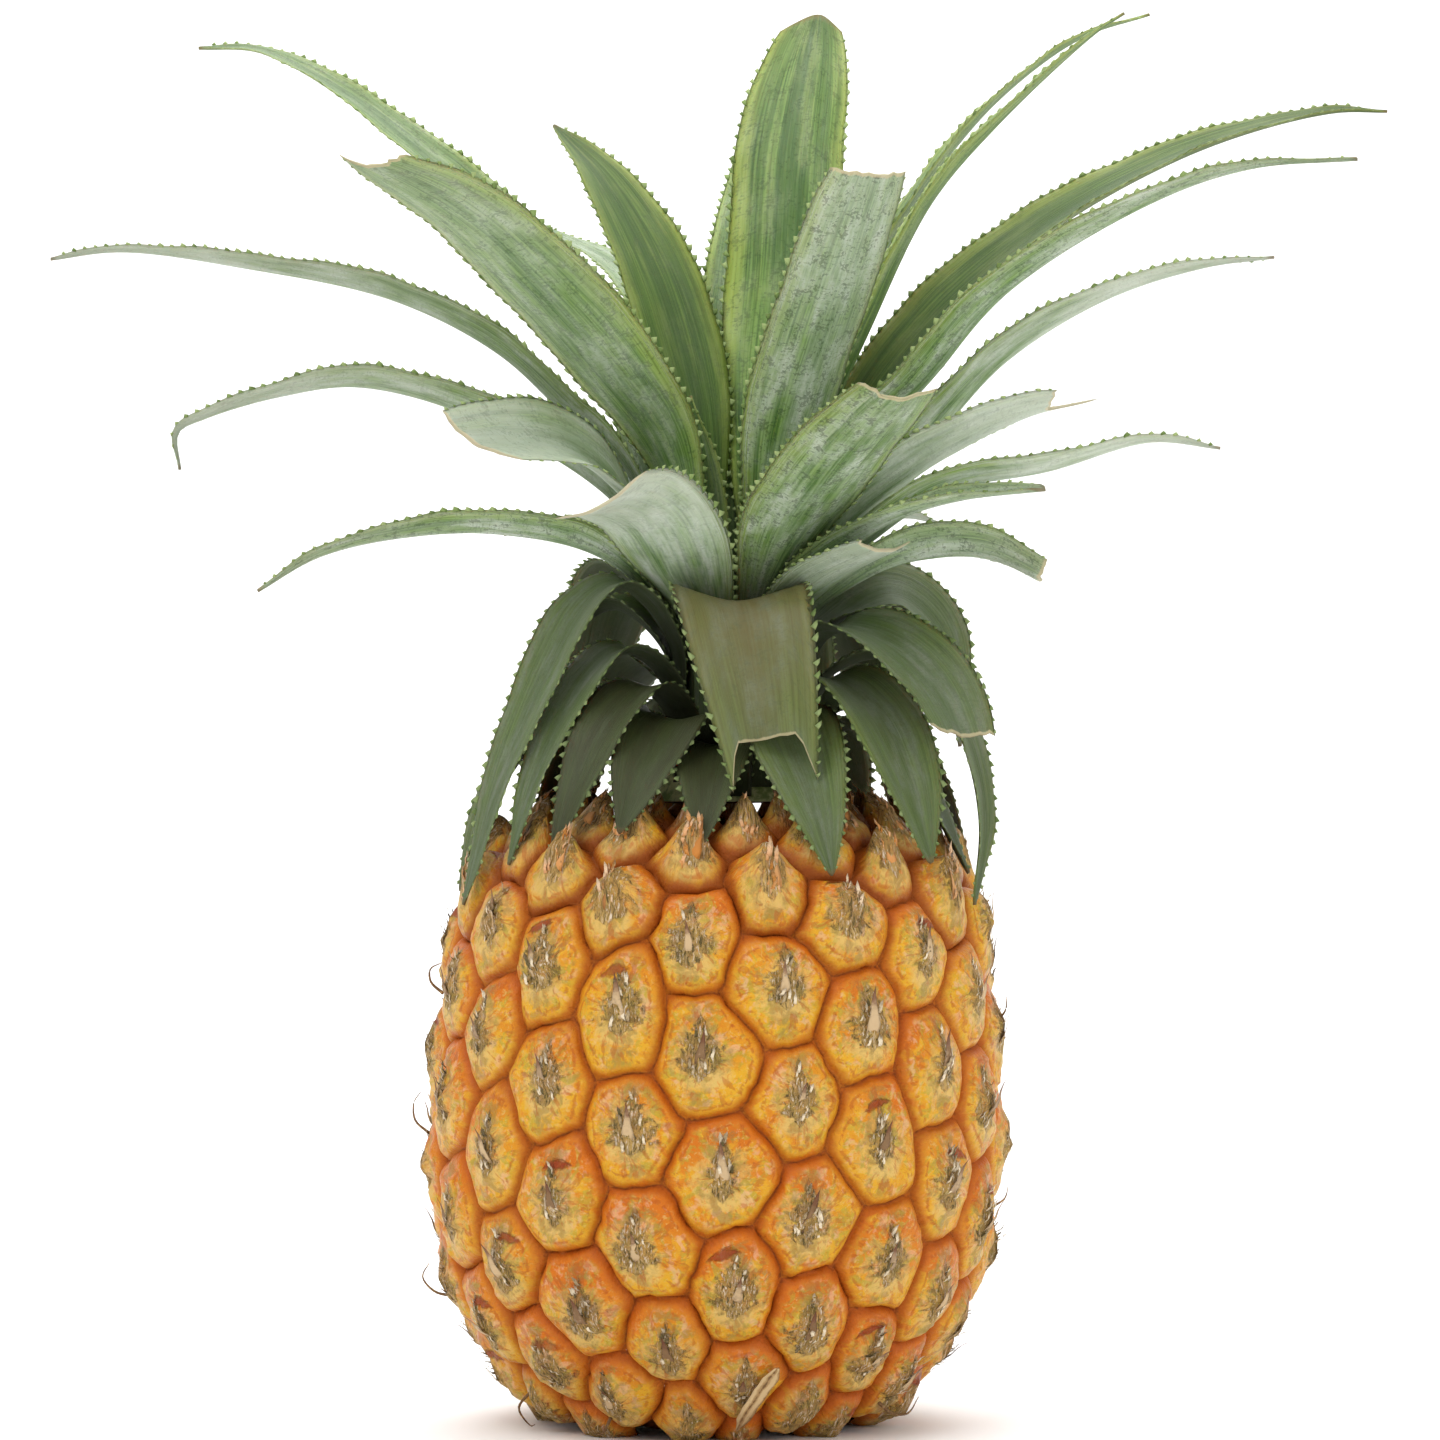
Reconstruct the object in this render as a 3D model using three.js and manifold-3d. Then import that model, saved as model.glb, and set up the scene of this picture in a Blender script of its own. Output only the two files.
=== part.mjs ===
// A small ripe pineapple that stands on its base, with its whole crown of spiny leaves.
// Units are millimetres, +Z is up, and the front faces -Y. The origin is the middle of the flat
// place under the fruit on which it stands.
import * as THREE from "three";
import { mergeVertices } from "three/addons/utils/BufferGeometryUtils.js";
import Module from "manifold-3d";

const wasm = await Module();
wasm.setup();

// ---- Driving dimensions ----

const GAP = 0.3; // clearance between pieces that touch

// Half outline of the fruit over the plateaus of its eyes: radius, height. It starts below the base and
// ends above the seat of the crown, and both ends are cut off.
const FRUIT_OUTLINE = [
  [14, -9],
  [24, -4],
  [32, 1],
  [38.5, 6],
  [43.5, 13],
  [48.5, 20],
  [52.5, 29],
  [55.3, 41],
  [56.6, 56],
  [56, 73],
  [54.3, 88],
  [53, 98],
  [50.5, 107],
  [46, 113.5],
  [38.5, 119],
  [29, 122.5],
  [19, 125],
  [8, 126],
];
const FRUIT_TOP = 125; // height at which the sideways lean of the fruit is full
const FRUIT_LEAN = 1.5; // how far the top of the fruit stands to the right of its base
const WIDEST = 56.6; // largest plateau radius
const WIDEST_HEIGHT = 56;
const SEAT_RADIUS = 19.5; // flat seat of the crown on top of the fruit
const SEAT_HEIGHT = 124;

// Spiral order of the eyes: one turn step between two eyes, and the rise along the skin of each.
const EYE_TURN = 137.28; // degrees, clockwise seen from above while going up
const EYE_RISE = 1.1; // at the widest place
const RISE_POWER_BELOW = 0.5; // how fast the rise shrinks with the radius under the widest place
const RISE_POWER_ABOVE = 1.7;
const FIRST_EYE = -84; // eyes are numbered from the one in the middle of the front
const LAST_EYE = 74;
const FRONT_EYE_TURN = -92; // degrees
const FRONT_EYE_HEIGHT = 76.5;
const SPIRALS = [8, 13, 21]; // the three families of visible spirals
const LOW_POINT = -9; // on the axis, where the skin closes below the last eyes
const TOP_POINT = 131; // the same at the top; the seat of the crown is cut into it

// Relief of one eye, from its groove to its beak, measured out from the plateau outline.
const GROOVE_DEPTH = 2.1;
const RIM_SHARE = 0.8; // of the way from the middle to the groove
const RIM_LIFT = -0.35;
const DOME_SHARE = 0.42;
const DOME_LIFT = 0.55;
const BEAK_LIFT = 1.5;
const BEAK_SHIFT = 2; // how far up the skin the beak points
const CROWN_BEAK_LIFT = 2.6; // the last eyes below the crown have long pointed beaks
const CROWN_BEAK_SHIFT = 7;
const CROWN_BEAK_FROM = 96; // height at which the beaks start to lengthen
const CROWN_BEAK_FULL = 113;

// Cut stalk in the base.
const STALK_RADIUS = 12.5;
const STALK_LENGTH = 6;
const STALK_SIDES = 28;

// Dry strip of a small leaf that clings to the foot of the fruit.
const STRIP_TOP = { turn: -75.5, height: 17, half: 1.8 }; // on the outline; half its width
const STRIP_END = { turn: -83.5, height: 4.6, half: 1.2 };
const STRIP_LIFT = 1.9; // its inner face over the plateaus
const STRIP_THICKNESS = 1;
const STRIP_ROWS = 6;
const STRIP_CURL = 0.8; // how far its middle stands off further than its ends

// Crown: a cone-shaped stem whose surface carries the leaf bases in layers.
const CROWN_X = 4; // the crown stands a little to the right of the fruit's axis
const LAYER_OUTER_RADIUS = 18; // base radius of the outermost leaf
const LAYER_STEP = 0.24; // each further leaf sits this much closer to the axis
const LAYER_LOW = 125.4; // base height of the outermost leaf
const LAYER_RISE = 0.45; // each further leaf starts this much higher
const STEM_INSET = 1.35; // stem surface inside the leaf layer it carries
const STEM_TIP = 10; // height of the rounded end above the last leaf base
const STEM_DOME = [
  [0.8, 0.5],
  [0.4, 0.9],
]; // shares of the radius and of the height of that end
const STEM_SIDES = 20;

// Leaf blades.
const BASE_ANGLE_OUTER = 19; // degrees of the neck that the outermost leaf base covers to either side
const BASE_ANGLE_INNER = 10; // the same for the innermost one
const NECK_THICKNESS = 0.65;
const BLADE_THICKNESS = 1.9;
const TIP_THICKNESS = 1.2;
const WIDEN_START = 0.5; // share of the neck after which the blade starts to widen
const WIDEN_SHARE = 0.3; // share of the free length over which most blades reach their full width
const SWING_POWER = 1.5; // how much of the sideways turn comes late along a leaf
const ROLL_LENGTH = 40; // distance past the neck over which a blade turns about its midrib
const CHANNEL = 0.3; // depth of the fold along the midrib, against half the width
const TAPER_POWER = 1.5;
const SPINE_PITCH = 10;
const SPINE_BASE = 2.4; // length of a spine along the margin
const SPINE_HEIGHT = 1.3;
const SPINE_HOOK = 0.7; // how far its point leans towards the tip of the leaf
const FEWEST_SPINES = 3; // on a margin
const SPINE_PLACE = 0.6; // where in its stretch of the margin a spine starts
const POINTED_END = 0.05; // width of a pointed leaf at its tip, against the widest

// Working sizes of the construction.
const CUT_DEPTH = 40; // of the blocks that cut the fruit flat
const MERGE_DISTANCE = 1e-4; // vertices closer than this are one
const SEARCH_END = 0.01; // how closely a place on the outline is found

// ---- Crown leaves, from the outermost and lowest to the innermost ----
// turn: direction in degrees, 0 to the right, -90 to the front. swing: degrees by which the tip turns
// aside. neck: height at which the leaf leaves the bundle. way: radius and height of the midrib further
// out. width: widest place. taper: how late the blade narrows. end: width left at the tip, against the
// widest. cut: how far the margin that lies clockwise, the midrib and the other margin reach. widen:
// share of the free length over which the blade grows to its full width. channel: depth of the fold
// against half the width. roll: degrees by which the blade turns about its midrib.
const LEAVES = [
  {
    name: "leaf_droop_01", turn: -98, neck: 131,
    way: [[23, 135], [34, 129], [45, 116.5]],
    width: 16,
  },
  { name: "leaf_droop_02", turn: 60, neck: 132, way: [[24, 137], [37, 130], [50, 113]], width: 24 },
  {
    name: "leaf_droop_03", turn: -15, neck: 134,
    way: [[24, 139], [36, 130], [48, 110]],
    width: 20,
  },
  {
    name: "leaf_droop_04", turn: 150, neck: 133,
    way: [[24, 138], [37, 131], [48, 114]],
    width: 25, roll: -20,
  },
  {
    name: "leaf_droop_05", turn: -68, neck: 135,
    way: [[23, 141], [33.5, 132.5], [44, 121], [50, 110.5]],
    width: 20, roll: 15,
  },
  {
    name: "leaf_droop_06", turn: 100, neck: 135,
    way: [[25, 142], [39, 135], [49, 120], [54, 106]],
    width: 25,
  },
  {
    name: "leaf_droop_07", turn: -119, neck: 135,
    way: [[24, 140], [35, 132], [46, 118.5]],
    width: 18.6, roll: -20,
  },
  {
    name: "leaf_droop_08", turn: 28, neck: 137,
    way: [[25, 143], [39, 137], [50, 121], [54, 106]],
    width: 24, roll: 28,
  },
  {
    name: "leaf_droop_09", turn: 176, neck: 138,
    way: [[25, 145], [40, 136.5], [50, 121], [55, 106]],
    width: 24, roll: -20,
  },
  {
    name: "leaf_droop_10", turn: -40, neck: 141,
    way: [[24, 148], [35, 142], [43.5, 129], [50, 112.5]],
    width: 20, taper: 2.2, roll: 15,
  },
  {
    name: "leaf_droop_11", turn: 77, neck: 146,
    way: [[26, 156], [38, 153], [50, 136], [55, 114]],
    width: 25,
  },
  {
    name: "leaf_droop_12", turn: -135, neck: 141,
    way: [[24, 146.5], [34, 140.6], [42.5, 129], [50, 114.5]],
    width: 14, roll: -20,
  },
  {
    name: "leaf_droop_13", turn: -2, swing: -20, neck: 145,
    way: [[27, 153], [40, 149], [47, 136], [51, 121], [51, 104]],
    width: 15, roll: 12,
  },
  {
    name: "leaf_droop_14", turn: 126, neck: 145,
    way: [[27, 152], [40, 147], [51, 134], [58, 114]],
    width: 26,
  },
  {
    name: "leaf_droop_15", turn: -91, swing: 13, neck: 153,
    way: [[22, 163], [30, 160.5], [34, 147.5], [36.5, 126]],
    width: 27, taper: 1.2, end: 0.62, cut: [1, 0.87, 0.99],
  },
  {
    name: "leaf_droop_16", turn: -150, neck: 147,
    way: [[25, 154], [31, 150.5], [40, 139], [46.5, 125.5], [51, 112]],
    width: 13, roll: -15,
  },
  {
    name: "leaf_droop_17", turn: -33, neck: 149,
    way: [[24, 158], [36, 155.5], [47, 147], [54, 135]],
    width: 19, taper: 3, end: 0.65, cut: [0.93, 0.97, 1], roll: 25,
  },
  {
    name: "leaf_droop_18", turn: 56, neck: 151,
    way: [[26, 162], [40, 162], [52, 148], [59, 132], [61, 118]],
    width: 26,
  },
  {
    name: "leaf_droop_19", turn: 14, neck: 154,
    way: [[25, 162], [33, 165], [40.5, 160], [45, 149], [47, 135]],
    width: 24, roll: 45,
  },
  {
    name: "leaf_droop_22", turn: 166, neck: 153,
    way: [[24, 163], [32, 159.5], [41, 150], [45.5, 139.8]],
    width: 18, roll: -10,
  },
  {
    name: "leaf_droop_20", turn: 120, neck: 155,
    way: [[27, 168], [41, 168], [56, 151], [64, 131]],
    width: 27,
  },
  {
    name: "leaf_droop_21", turn: -159, neck: 155,
    way: [[24, 167], [30.5, 163.5], [40, 148], [49, 128.5], [57, 104]],
    width: 16, roll: -18,
  },
  {
    name: "leaf_spread_01", turn: -48, swing: -1, neck: 158,
    way: [[27, 167.5], [46, 173.5]],
    width: 18, taper: 3, end: 0.7, widen: 0.5,
  },
  {
    name: "leaf_spread_02", turn: 142, neck: 157,
    way: [[28, 173], [42, 180], [52, 180.5], [60, 178.5]],
    width: 18,
  },
  {
    name: "leaf_spread_03", turn: -119, neck: 158,
    way: [[22, 169.5], [32, 178.5], [44, 181.5], [57, 180.5]],
    width: 23, taper: 3, end: 0.7, cut: [1, 1, 0.9], widen: 0.4, roll: 25,
  },
  {
    name: "leaf_spread_04", turn: -9, neck: 157,
    way: [[26, 169], [38, 173.5], [51, 173.5], [62, 168.5]],
    width: 17, taper: 4, end: 0.66, roll: -24,
  },
  {
    name: "leaf_spread_05", turn: 82, neck: 158,
    way: [[28, 174], [46, 184], [70, 186], [98, 176]],
    width: 20,
  },
  {
    name: "leaf_spread_06", turn: -176, neck: 158,
    way: [[26, 173], [47, 178], [67, 177], [83, 173], [95, 166]],
    width: 16, channel: 0.4, roll: 12,
  },
  {
    name: "leaf_spread_08", turn: -40, swing: 8, neck: 159,
    way: [[27, 173], [40, 180], [54, 183.5], [71, 185]],
    width: 16, end: 0.3, channel: 0.4, roll: 15,
  },
  {
    name: "leaf_spread_07", turn: 40, neck: 159,
    way: [[28, 176], [38, 181], [47, 182], [55, 181]],
    width: 18,
  },
  {
    name: "leaf_spread_09", turn: 118, neck: 160,
    way: [[28, 180], [44, 190], [62, 196], [82, 197]],
    width: 19,
  },
  {
    name: "leaf_spread_10", turn: -142.5, neck: 160,
    way: [[25.5, 182.5], [41, 193], [69, 194]],
    width: 24, taper: 3, end: 0.6, cut: [1, 0.95, 0.9], widen: 0.5, roll: -36,
  },
  {
    name: "leaf_spread_11", turn: -3, neck: 160,
    way: [[28, 177], [43, 186.5], [63, 190.5], [83, 196], [97, 194.5]],
    width: 15, channel: 0.4, roll: -12,
  },
  {
    name: "leaf_arch_01", turn: -67, swing: 4, neck: 158,
    way: [[21, 172], [46, 188], [70, 202]],
    width: 24, taper: 4, end: 0.72, widen: 0.5,
  },
  {
    name: "leaf_arch_02", turn: 179, neck: 162,
    way: [[24, 184.5], [51, 201], [75, 207.5], [91, 205.5], [106, 201], [111.5, 198], [111, 190.5]],
    width: 15, channel: 0.45, widen: 0.4, roll: 14,
  },
  {
    name: "leaf_arch_03", turn: 62, neck: 161,
    way: [[26, 186], [42, 200], [62, 209], [84, 211]],
    width: 20,
  },
  {
    name: "leaf_arch_04", turn: -30, neck: 160.5,
    way: [[25.5, 179.5], [39, 188.5], [52, 195], [66, 200], [81, 202.5]],
    width: 15, taper: 3, end: 0.35, cut: [0.94, 0.9, 1], channel: 0.4, roll: -15,
  },
  {
    name: "leaf_arch_05", turn: 128, neck: 161,
    way: [[24, 187], [34, 201], [44, 209], [55, 213]],
    width: 20,
  },
  {
    name: "leaf_arch_08", turn: 46, neck: 162,
    way: [[22, 187], [34, 205], [45, 217], [54, 223.5]],
    width: 20,
  },
  {
    name: "leaf_arch_06", turn: -6, swing: -4, neck: 161,
    way: [[23, 180.5], [38, 195], [54, 212], [74, 224], [94, 230], [108, 231.5]],
    width: 16, channel: 0.4, roll: -15,
  },
  {
    name: "leaf_arch_07", turn: 167, neck: 161,
    way: [[21.5, 189.5], [34.5, 202], [49, 215], [71, 226], [103, 233], [129, 236.5], [144, 235]],
    width: 17, channel: 0.4, roll: 14,
  },
  {
    name: "leaf_arch_09", turn: 82, neck: 162,
    way: [[20, 194], [39, 220], [68, 238], [104, 243]],
    width: 21,
  },
  {
    name: "leaf_arch_10", turn: -26, swing: 4, neck: 162,
    way: [[22, 188.5], [41, 207], [58, 224.5], [88, 241], [108, 247], [129, 248]],
    width: 13, channel: 0.45, roll: -12,
  },
  {
    name: "leaf_arch_11", turn: -150, neck: 162,
    way: [[15.5, 193.5], [28, 209], [46, 226], [63, 239], [87, 250]],
    width: 23, taper: 2.6, end: 0.22, cut: [1, 0.96, 0.93], widen: 0.5, roll: 26,
  },
  {
    name: "leaf_arch_12", turn: 14, neck: 162,
    way: [[20, 189], [30.5, 206], [47, 225], [68, 241.5], [98, 257], [126, 265], [138.5, 265.5]],
    width: 20, channel: 0.4, widen: 0.35, roll: 18,
  },
  {
    name: "leaf_inner_01", turn: -57, neck: 163,
    way: [[13, 178], [21.5, 199], [37, 225], [50, 246]],
    width: 22, taper: 5, end: 0.8, widen: 0.5,
  },
  {
    name: "leaf_arch_13", turn: 165, neck: 163,
    way: [[16, 200], [35, 226], [53, 244], [70, 258.5], [85, 269.5], [100, 277], [113.5, 278]],
    width: 17, channel: 0.35, widen: 0.4, roll: -25,
  },
  {
    name: "leaf_arch_15", turn: 106, swing: 13, neck: 163,
    way: [[16.5, 196], [36, 220], [63, 236], [90, 246]],
    width: 16, widen: 0.5,
  },
  {
    name: "leaf_arch_14", turn: -11, neck: 163,
    way: [[17.2, 196], [27, 218], [39.5, 243], [53, 258.5], [73, 276.5], [78.5, 280]],
    width: 17, channel: 0.35, widen: 0.4, roll: 12,
  },
  {
    name: "leaf_inner_02", turn: 24, neck: 164,
    way: [[17, 200], [26, 220.5], [34, 236], [45, 252], [59.5, 267.5], [78, 280.5], [94, 286]],
    width: 12.5, channel: 0.35, widen: 0.4, roll: -12,
  },
  {
    name: "leaf_inner_03", turn: 84, neck: 164,
    way: [[14, 199], [30, 231], [51, 256], [75, 268]],
    width: 19, widen: 0.45,
  },
  {
    name: "leaf_inner_04", turn: 139, neck: 165,
    way: [[9.5, 196], [15, 214.5], [22, 231], [35, 250], [49, 262.5]],
    width: 19, taper: 2.2, widen: 0.5, roll: -20,
  },
  {
    name: "leaf_inner_05", turn: 52, neck: 166,
    way: [[7.5, 185], [12.5, 205], [17.5, 225.5], [21, 256], [28, 284]],
    width: 25, taper: 5, end: 0.35, widen: 0.5, roll: 12,
  },
  { name: "leaf_heart_01", turn: -150, neck: 167, way: [[5.5, 187], [10, 205]], width: 9 },
  { name: "leaf_heart_02", turn: -30, neck: 168, way: [[5, 187], [8.5, 200]], width: 9 },
];

// ---- Helpers ----

const radians = THREE.MathUtils.degToRad;

// A smooth step from 0 to 1 between two values.
function ease(from, to, value) {
  return THREE.MathUtils.smoothstep(value, from, to);
}

// A mesh of vertices (flat list) and triangles as a closed solid.
function solidOf(vertices, triangles) {
  return new wasm.Manifold(
    new wasm.Mesh({
      numProp: 3,
      vertProperties: Float32Array.from(vertices),
      triVerts: Uint32Array.from(triangles),
    }),
  );
}

// A three.js geometry as a closed solid.
function solidOfGeometry(geometry) {
  const bare = geometry.clone();
  bare.deleteAttribute("normal");
  bare.deleteAttribute("uv");
  const merged = mergeVertices(bare, MERGE_DISTANCE);
  return solidOf(merged.attributes.position.array, merged.index.array);
}

// A closed solid as a three.js geometry.
function geometryOf(solid) {
  const mesh = solid.getMesh();
  const geometry = new THREE.BufferGeometry();
  geometry.setAttribute("position", new THREE.BufferAttribute(mesh.vertProperties, 3));
  geometry.setIndex(new THREE.BufferAttribute(mesh.triVerts, 1));
  geometry.computeVertexNormals();
  return geometry;
}

// A round block along Z between two heights.
function roundBlock(radius, low, high, sides) {
  const geometry = new THREE.CylinderGeometry(radius, radius, high - low, sides);
  geometry.rotateX(Math.PI / 2);
  geometry.translate(0, 0, (low + high) / 2);
  return geometry;
}

// ---- Fruit ----

const outline = new THREE.SplineCurve(FRUIT_OUTLINE.map(([r, z]) => new THREE.Vector2(r, z)));
const OUTLINE_LENGTH = outline.getLength();

// Distance along the outline at which it passes a height.
function distanceAtHeight(height) {
  let low = 0;
  let high = OUTLINE_LENGTH;
  while (high - low > SEARCH_END) {
    const middle = (low + high) / 2;
    if (outline.getPointAt(middle / OUTLINE_LENGTH).y < height) low = middle;
    else high = middle;
  }
  return low;
}

// A point of the skin: turn about the axis in degrees, distance along the outline, lift off the plateau.
function skinPoint(turn, distance, lift) {
  const share = THREE.MathUtils.clamp(distance / OUTLINE_LENGTH, 0, 1);
  const at = outline.getPointAt(share);
  const along = outline.getTangentAt(share);
  const radius = at.x + along.y * lift;
  const height = at.y - along.x * lift;
  const lean = FRUIT_LEAN * (Math.max(height, 0) / FRUIT_TOP) ** 2;
  return [radius * Math.cos(radians(turn)) + lean, radius * Math.sin(radians(turn)), height];
}

// Distances along the outline of all eyes, found step by step from the middle of the front.
function eyeDistances() {
  const start = distanceAtHeight(FRONT_EYE_HEIGHT);
  const widest = distanceAtHeight(WIDEST_HEIGHT);
  const distances = new Map([[0, start]]);
  const rise = (distance) => {
    const radius = outline.getPointAt(THREE.MathUtils.clamp(distance / OUTLINE_LENGTH, 0, 1)).x;
    const power = distance > widest ? RISE_POWER_ABOVE : RISE_POWER_BELOW;
    return EYE_RISE * (radius / WIDEST) ** power;
  };
  for (let eye = 1; eye <= LAST_EYE + SPIRALS[2]; eye++)
    distances.set(eye, distances.get(eye - 1) + rise(distances.get(eye - 1)));
  for (let eye = -1; eye >= FIRST_EYE - SPIRALS[2]; eye--)
    distances.set(eye, distances.get(eye + 1) - rise(distances.get(eye + 1)));
  return distances;
}

// Turn of an eye against another one so many steps below it, between -180 and 180 degrees.
function stepTurn(steps) {
  return ((((-steps * EYE_TURN + 180) % 360) + 360) % 360) - 180;
}

// The whole skin as one closed solid: a six-sided dome with a beak for each eye.
function skinSolid() {
  const distances = eyeDistances();
  const vertices = [];
  const triangles = [];
  const corners = new Map();
  const [few, some, many] = SPIRALS;
  const addPoint = (turn, distance, lift) => {
    vertices.push(...skinPoint(turn, distance, lift));
    return vertices.length / 3 - 1;
  };
  // The corner in the middle of an eye and two of its upper neighbours.
  const cornerPlace = (eye, near) => ({
    turn: FRONT_EYE_TURN + stepTurn(eye) + (stepTurn(near) + stepTurn(many)) / 3,
    distance: (distances.get(eye) + distances.get(eye + near) + distances.get(eye + many)) / 3,
  });
  const corner = (eye, near) => {
    const key = eye + "/" + near;
    if (!corners.has(key)) {
      const place = cornerPlace(eye, near);
      corners.set(key, { ...place, index: addPoint(place.turn, place.distance, -GROOVE_DEPTH) });
    }
    return corners.get(key);
  };
  for (let eye = FIRST_EYE; eye <= LAST_EYE; eye++) {
    const turn = FRONT_EYE_TURN + stepTurn(eye);
    const distance = distances.get(eye);
    const around = [
      corner(eye - few, few),
      corner(eye, some),
      corner(eye, few),
      corner(eye - some, some),
      corner(eye - many, few),
      corner(eye - many, some),
    ];
    const ring = (share, lift) =>
      around.map((place) => {
        const aside = (((place.turn - turn + 180) % 360) + 360) % 360 - 180;
        return addPoint(turn + aside * share, distance + (place.distance - distance) * share, lift);
      });
    const height = skinPoint(turn, distance, 0)[2];
    const long = ease(CROWN_BEAK_FROM, CROWN_BEAK_FULL, height);
    const rim = ring(RIM_SHARE, RIM_LIFT);
    const dome = ring(DOME_SHARE, DOME_LIFT);
    const beak = addPoint(
      turn,
      distance + THREE.MathUtils.lerp(BEAK_SHIFT, CROWN_BEAK_SHIFT, long),
      THREE.MathUtils.lerp(BEAK_LIFT, CROWN_BEAK_LIFT, long),
    );
    around.forEach((place, side) => {
      const next = (side + 1) % around.length;
      const outer = [place.index, around[next].index];
      triangles.push(outer[0], outer[1], rim[next], outer[0], rim[next], rim[side]);
      triangles.push(rim[side], rim[next], dome[next], rim[side], dome[next], dome[side]);
      triangles.push(dome[side], dome[next], beak);
    });
  }
  closeEnds(vertices, triangles);
  return solidOf(vertices, triangles);
}

// Closes the two open ends of a tube-like mesh with fans to a point on its axis.
function closeEnds(vertices, triangles) {
  const edges = new Set();
  for (let i = 0; i < triangles.length; i += 3)
    for (let side = 0; side < 3; side++)
      edges.add(triangles[i + side] + "/" + triangles[i + ((side + 1) % 3)]);
  const open = new Map();
  for (const edge of edges) {
    const [from, to] = edge.split("/").map(Number);
    if (!edges.has(to + "/" + from)) open.set(from, to);
  }
  while (open.size) {
    const loop = [open.keys().next().value];
    while (open.has(loop.at(-1))) {
      const next = open.get(loop.at(-1));
      open.delete(loop.at(-1));
      loop.push(next);
    }
    loop.pop();
    const height = vertices[3 * loop[0] + 2] < WIDEST_HEIGHT ? LOW_POINT : TOP_POINT;
    vertices.push(0, 0, height);
    const middle = vertices.length / 3 - 1;
    loop.forEach((from, i) => triangles.push(loop[(i + 1) % loop.length], from, middle));
  }
}

// The fruit: the skin cut flat under the base, with a seat for the crown and a socket for the stalk.
function fruitGeometry() {
  const below = new THREE.BoxGeometry(4 * WIDEST, 4 * WIDEST, CUT_DEPTH);
  below.translate(0, 0, -CUT_DEPTH / 2);
  const seat = roundBlock(SEAT_RADIUS, SEAT_HEIGHT, SEAT_HEIGHT + CUT_DEPTH, STALK_SIDES);
  seat.translate(CROWN_X, 0, 0);
  const socket = roundBlock(STALK_RADIUS + GAP, -CUT_DEPTH, STALK_LENGTH + GAP, STALK_SIDES);
  let solid = skinSolid();
  for (const cutter of [below, seat, socket]) solid = solid.subtract(solidOfGeometry(cutter));
  return geometryOf(solid);
}

// The dry strip at the foot: a bent band of even thickness.
function stripGeometry() {
  const vertices = [];
  const triangles = [];
  const lerp = THREE.MathUtils.lerp;
  for (let row = 0; row < STRIP_ROWS; row++) {
    const share = row / (STRIP_ROWS - 1);
    const distance = distanceAtHeight(lerp(STRIP_TOP.height, STRIP_END.height, share));
    const turn = lerp(STRIP_TOP.turn, STRIP_END.turn, share);
    const radius = outline.getPointAt(distance / OUTLINE_LENGTH).x;
    const aside = THREE.MathUtils.radToDeg(lerp(STRIP_TOP.half, STRIP_END.half, share) / radius);
    const inner = STRIP_LIFT + STRIP_CURL * Math.sin(Math.PI * share);
    for (const lift of [inner, inner + STRIP_THICKNESS])
      for (const side of [-1, 1]) vertices.push(...skinPoint(turn + side * aside, distance, lift));
  }
  // Corners of a row, around: inner left, inner right, outer right, outer left.
  const around = [0, 1, 3, 2];
  for (let row = 1; row < STRIP_ROWS; row++)
    around.forEach((corner, i) => {
      const next = around[(i + 1) % around.length];
      const [above, below] = [4 * (row - 1), 4 * row];
      triangles.push(above + corner, below + next, below + corner);
      triangles.push(above + corner, above + next, below + next);
    });
  const last = 4 * (STRIP_ROWS - 1);
  triangles.push(0, 3, 1, 0, 2, 3);
  triangles.push(last, last + 1, last + 3, last, last + 3, last + 2);
  return geometryOf(solidOf(vertices, triangles));
}

// ---- Crown ----

// Radius of the layer of leaf bases that starts at a height.
function layerRadius(height) {
  return LAYER_OUTER_RADIUS - ((height - LAYER_LOW) / LAYER_RISE) * LAYER_STEP;
}

// The stem of the crown: a cone under the leaf bases with a rounded tip.
function stemGeometry() {
  const low = SEAT_HEIGHT + GAP;
  const high = LAYER_LOW + LEAVES.length * LAYER_RISE;
  const narrow = layerRadius(high) - STEM_INSET;
  const profile = [
    [0, low],
    [layerRadius(low) - STEM_INSET, low],
    [narrow, high],
    ...STEM_DOME.map(([across, up]) => [narrow * across, high + STEM_TIP * up]),
    [0, high + STEM_TIP],
  ];
  const geometry = new THREE.LatheGeometry(
    profile.map(([r, z]) => new THREE.Vector2(r, z)),
    STEM_SIDES,
  );
  geometry.rotateX(Math.PI / 2);
  return geometryOf(solidOfGeometry(geometry));
}

// The midrib of a leaf as a smooth curve, with its layer in the bundle of leaf bases.
function midribOf(leaf, layer) {
  const baseRadius = LAYER_OUTER_RADIUS - layer * LAYER_STEP;
  const baseHeight = LAYER_LOW + layer * LAYER_RISE;
  const places = [[baseRadius, baseHeight], [baseRadius, leaf.neck], ...leaf.way];
  const swing = leaf.swing ?? 0;
  const points = places.map(([radius, height], i) => {
    const outward = Math.max(0, (i - 1) / (places.length - 2)); // 0 up to the end of the neck
    const turn = radians(leaf.turn + swing * outward ** SWING_POWER);
    return new THREE.Vector3(radius * Math.cos(turn), radius * Math.sin(turn), height);
  });
  const curve = new THREE.CatmullRomCurve3(points, false, "centripetal");
  const angle = THREE.MathUtils.lerp(BASE_ANGLE_OUTER, BASE_ANGLE_INNER, layer / LEAVES.length);
  return {
    curve,
    baseHalf: baseRadius * Math.sin(radians(angle)),
    baseFold: Math.tan(radians(angle / 2)),
    neck: leaf.neck - baseHeight,
    length: curve.getLength(),
  };
}

// Distance along a leaf at which it reaches its full width and thickness.
function fullWidthAt(leaf, midrib) {
  return THREE.MathUtils.lerp(midrib.neck, midrib.length, leaf.widen ?? WIDEN_SHARE);
}

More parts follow.
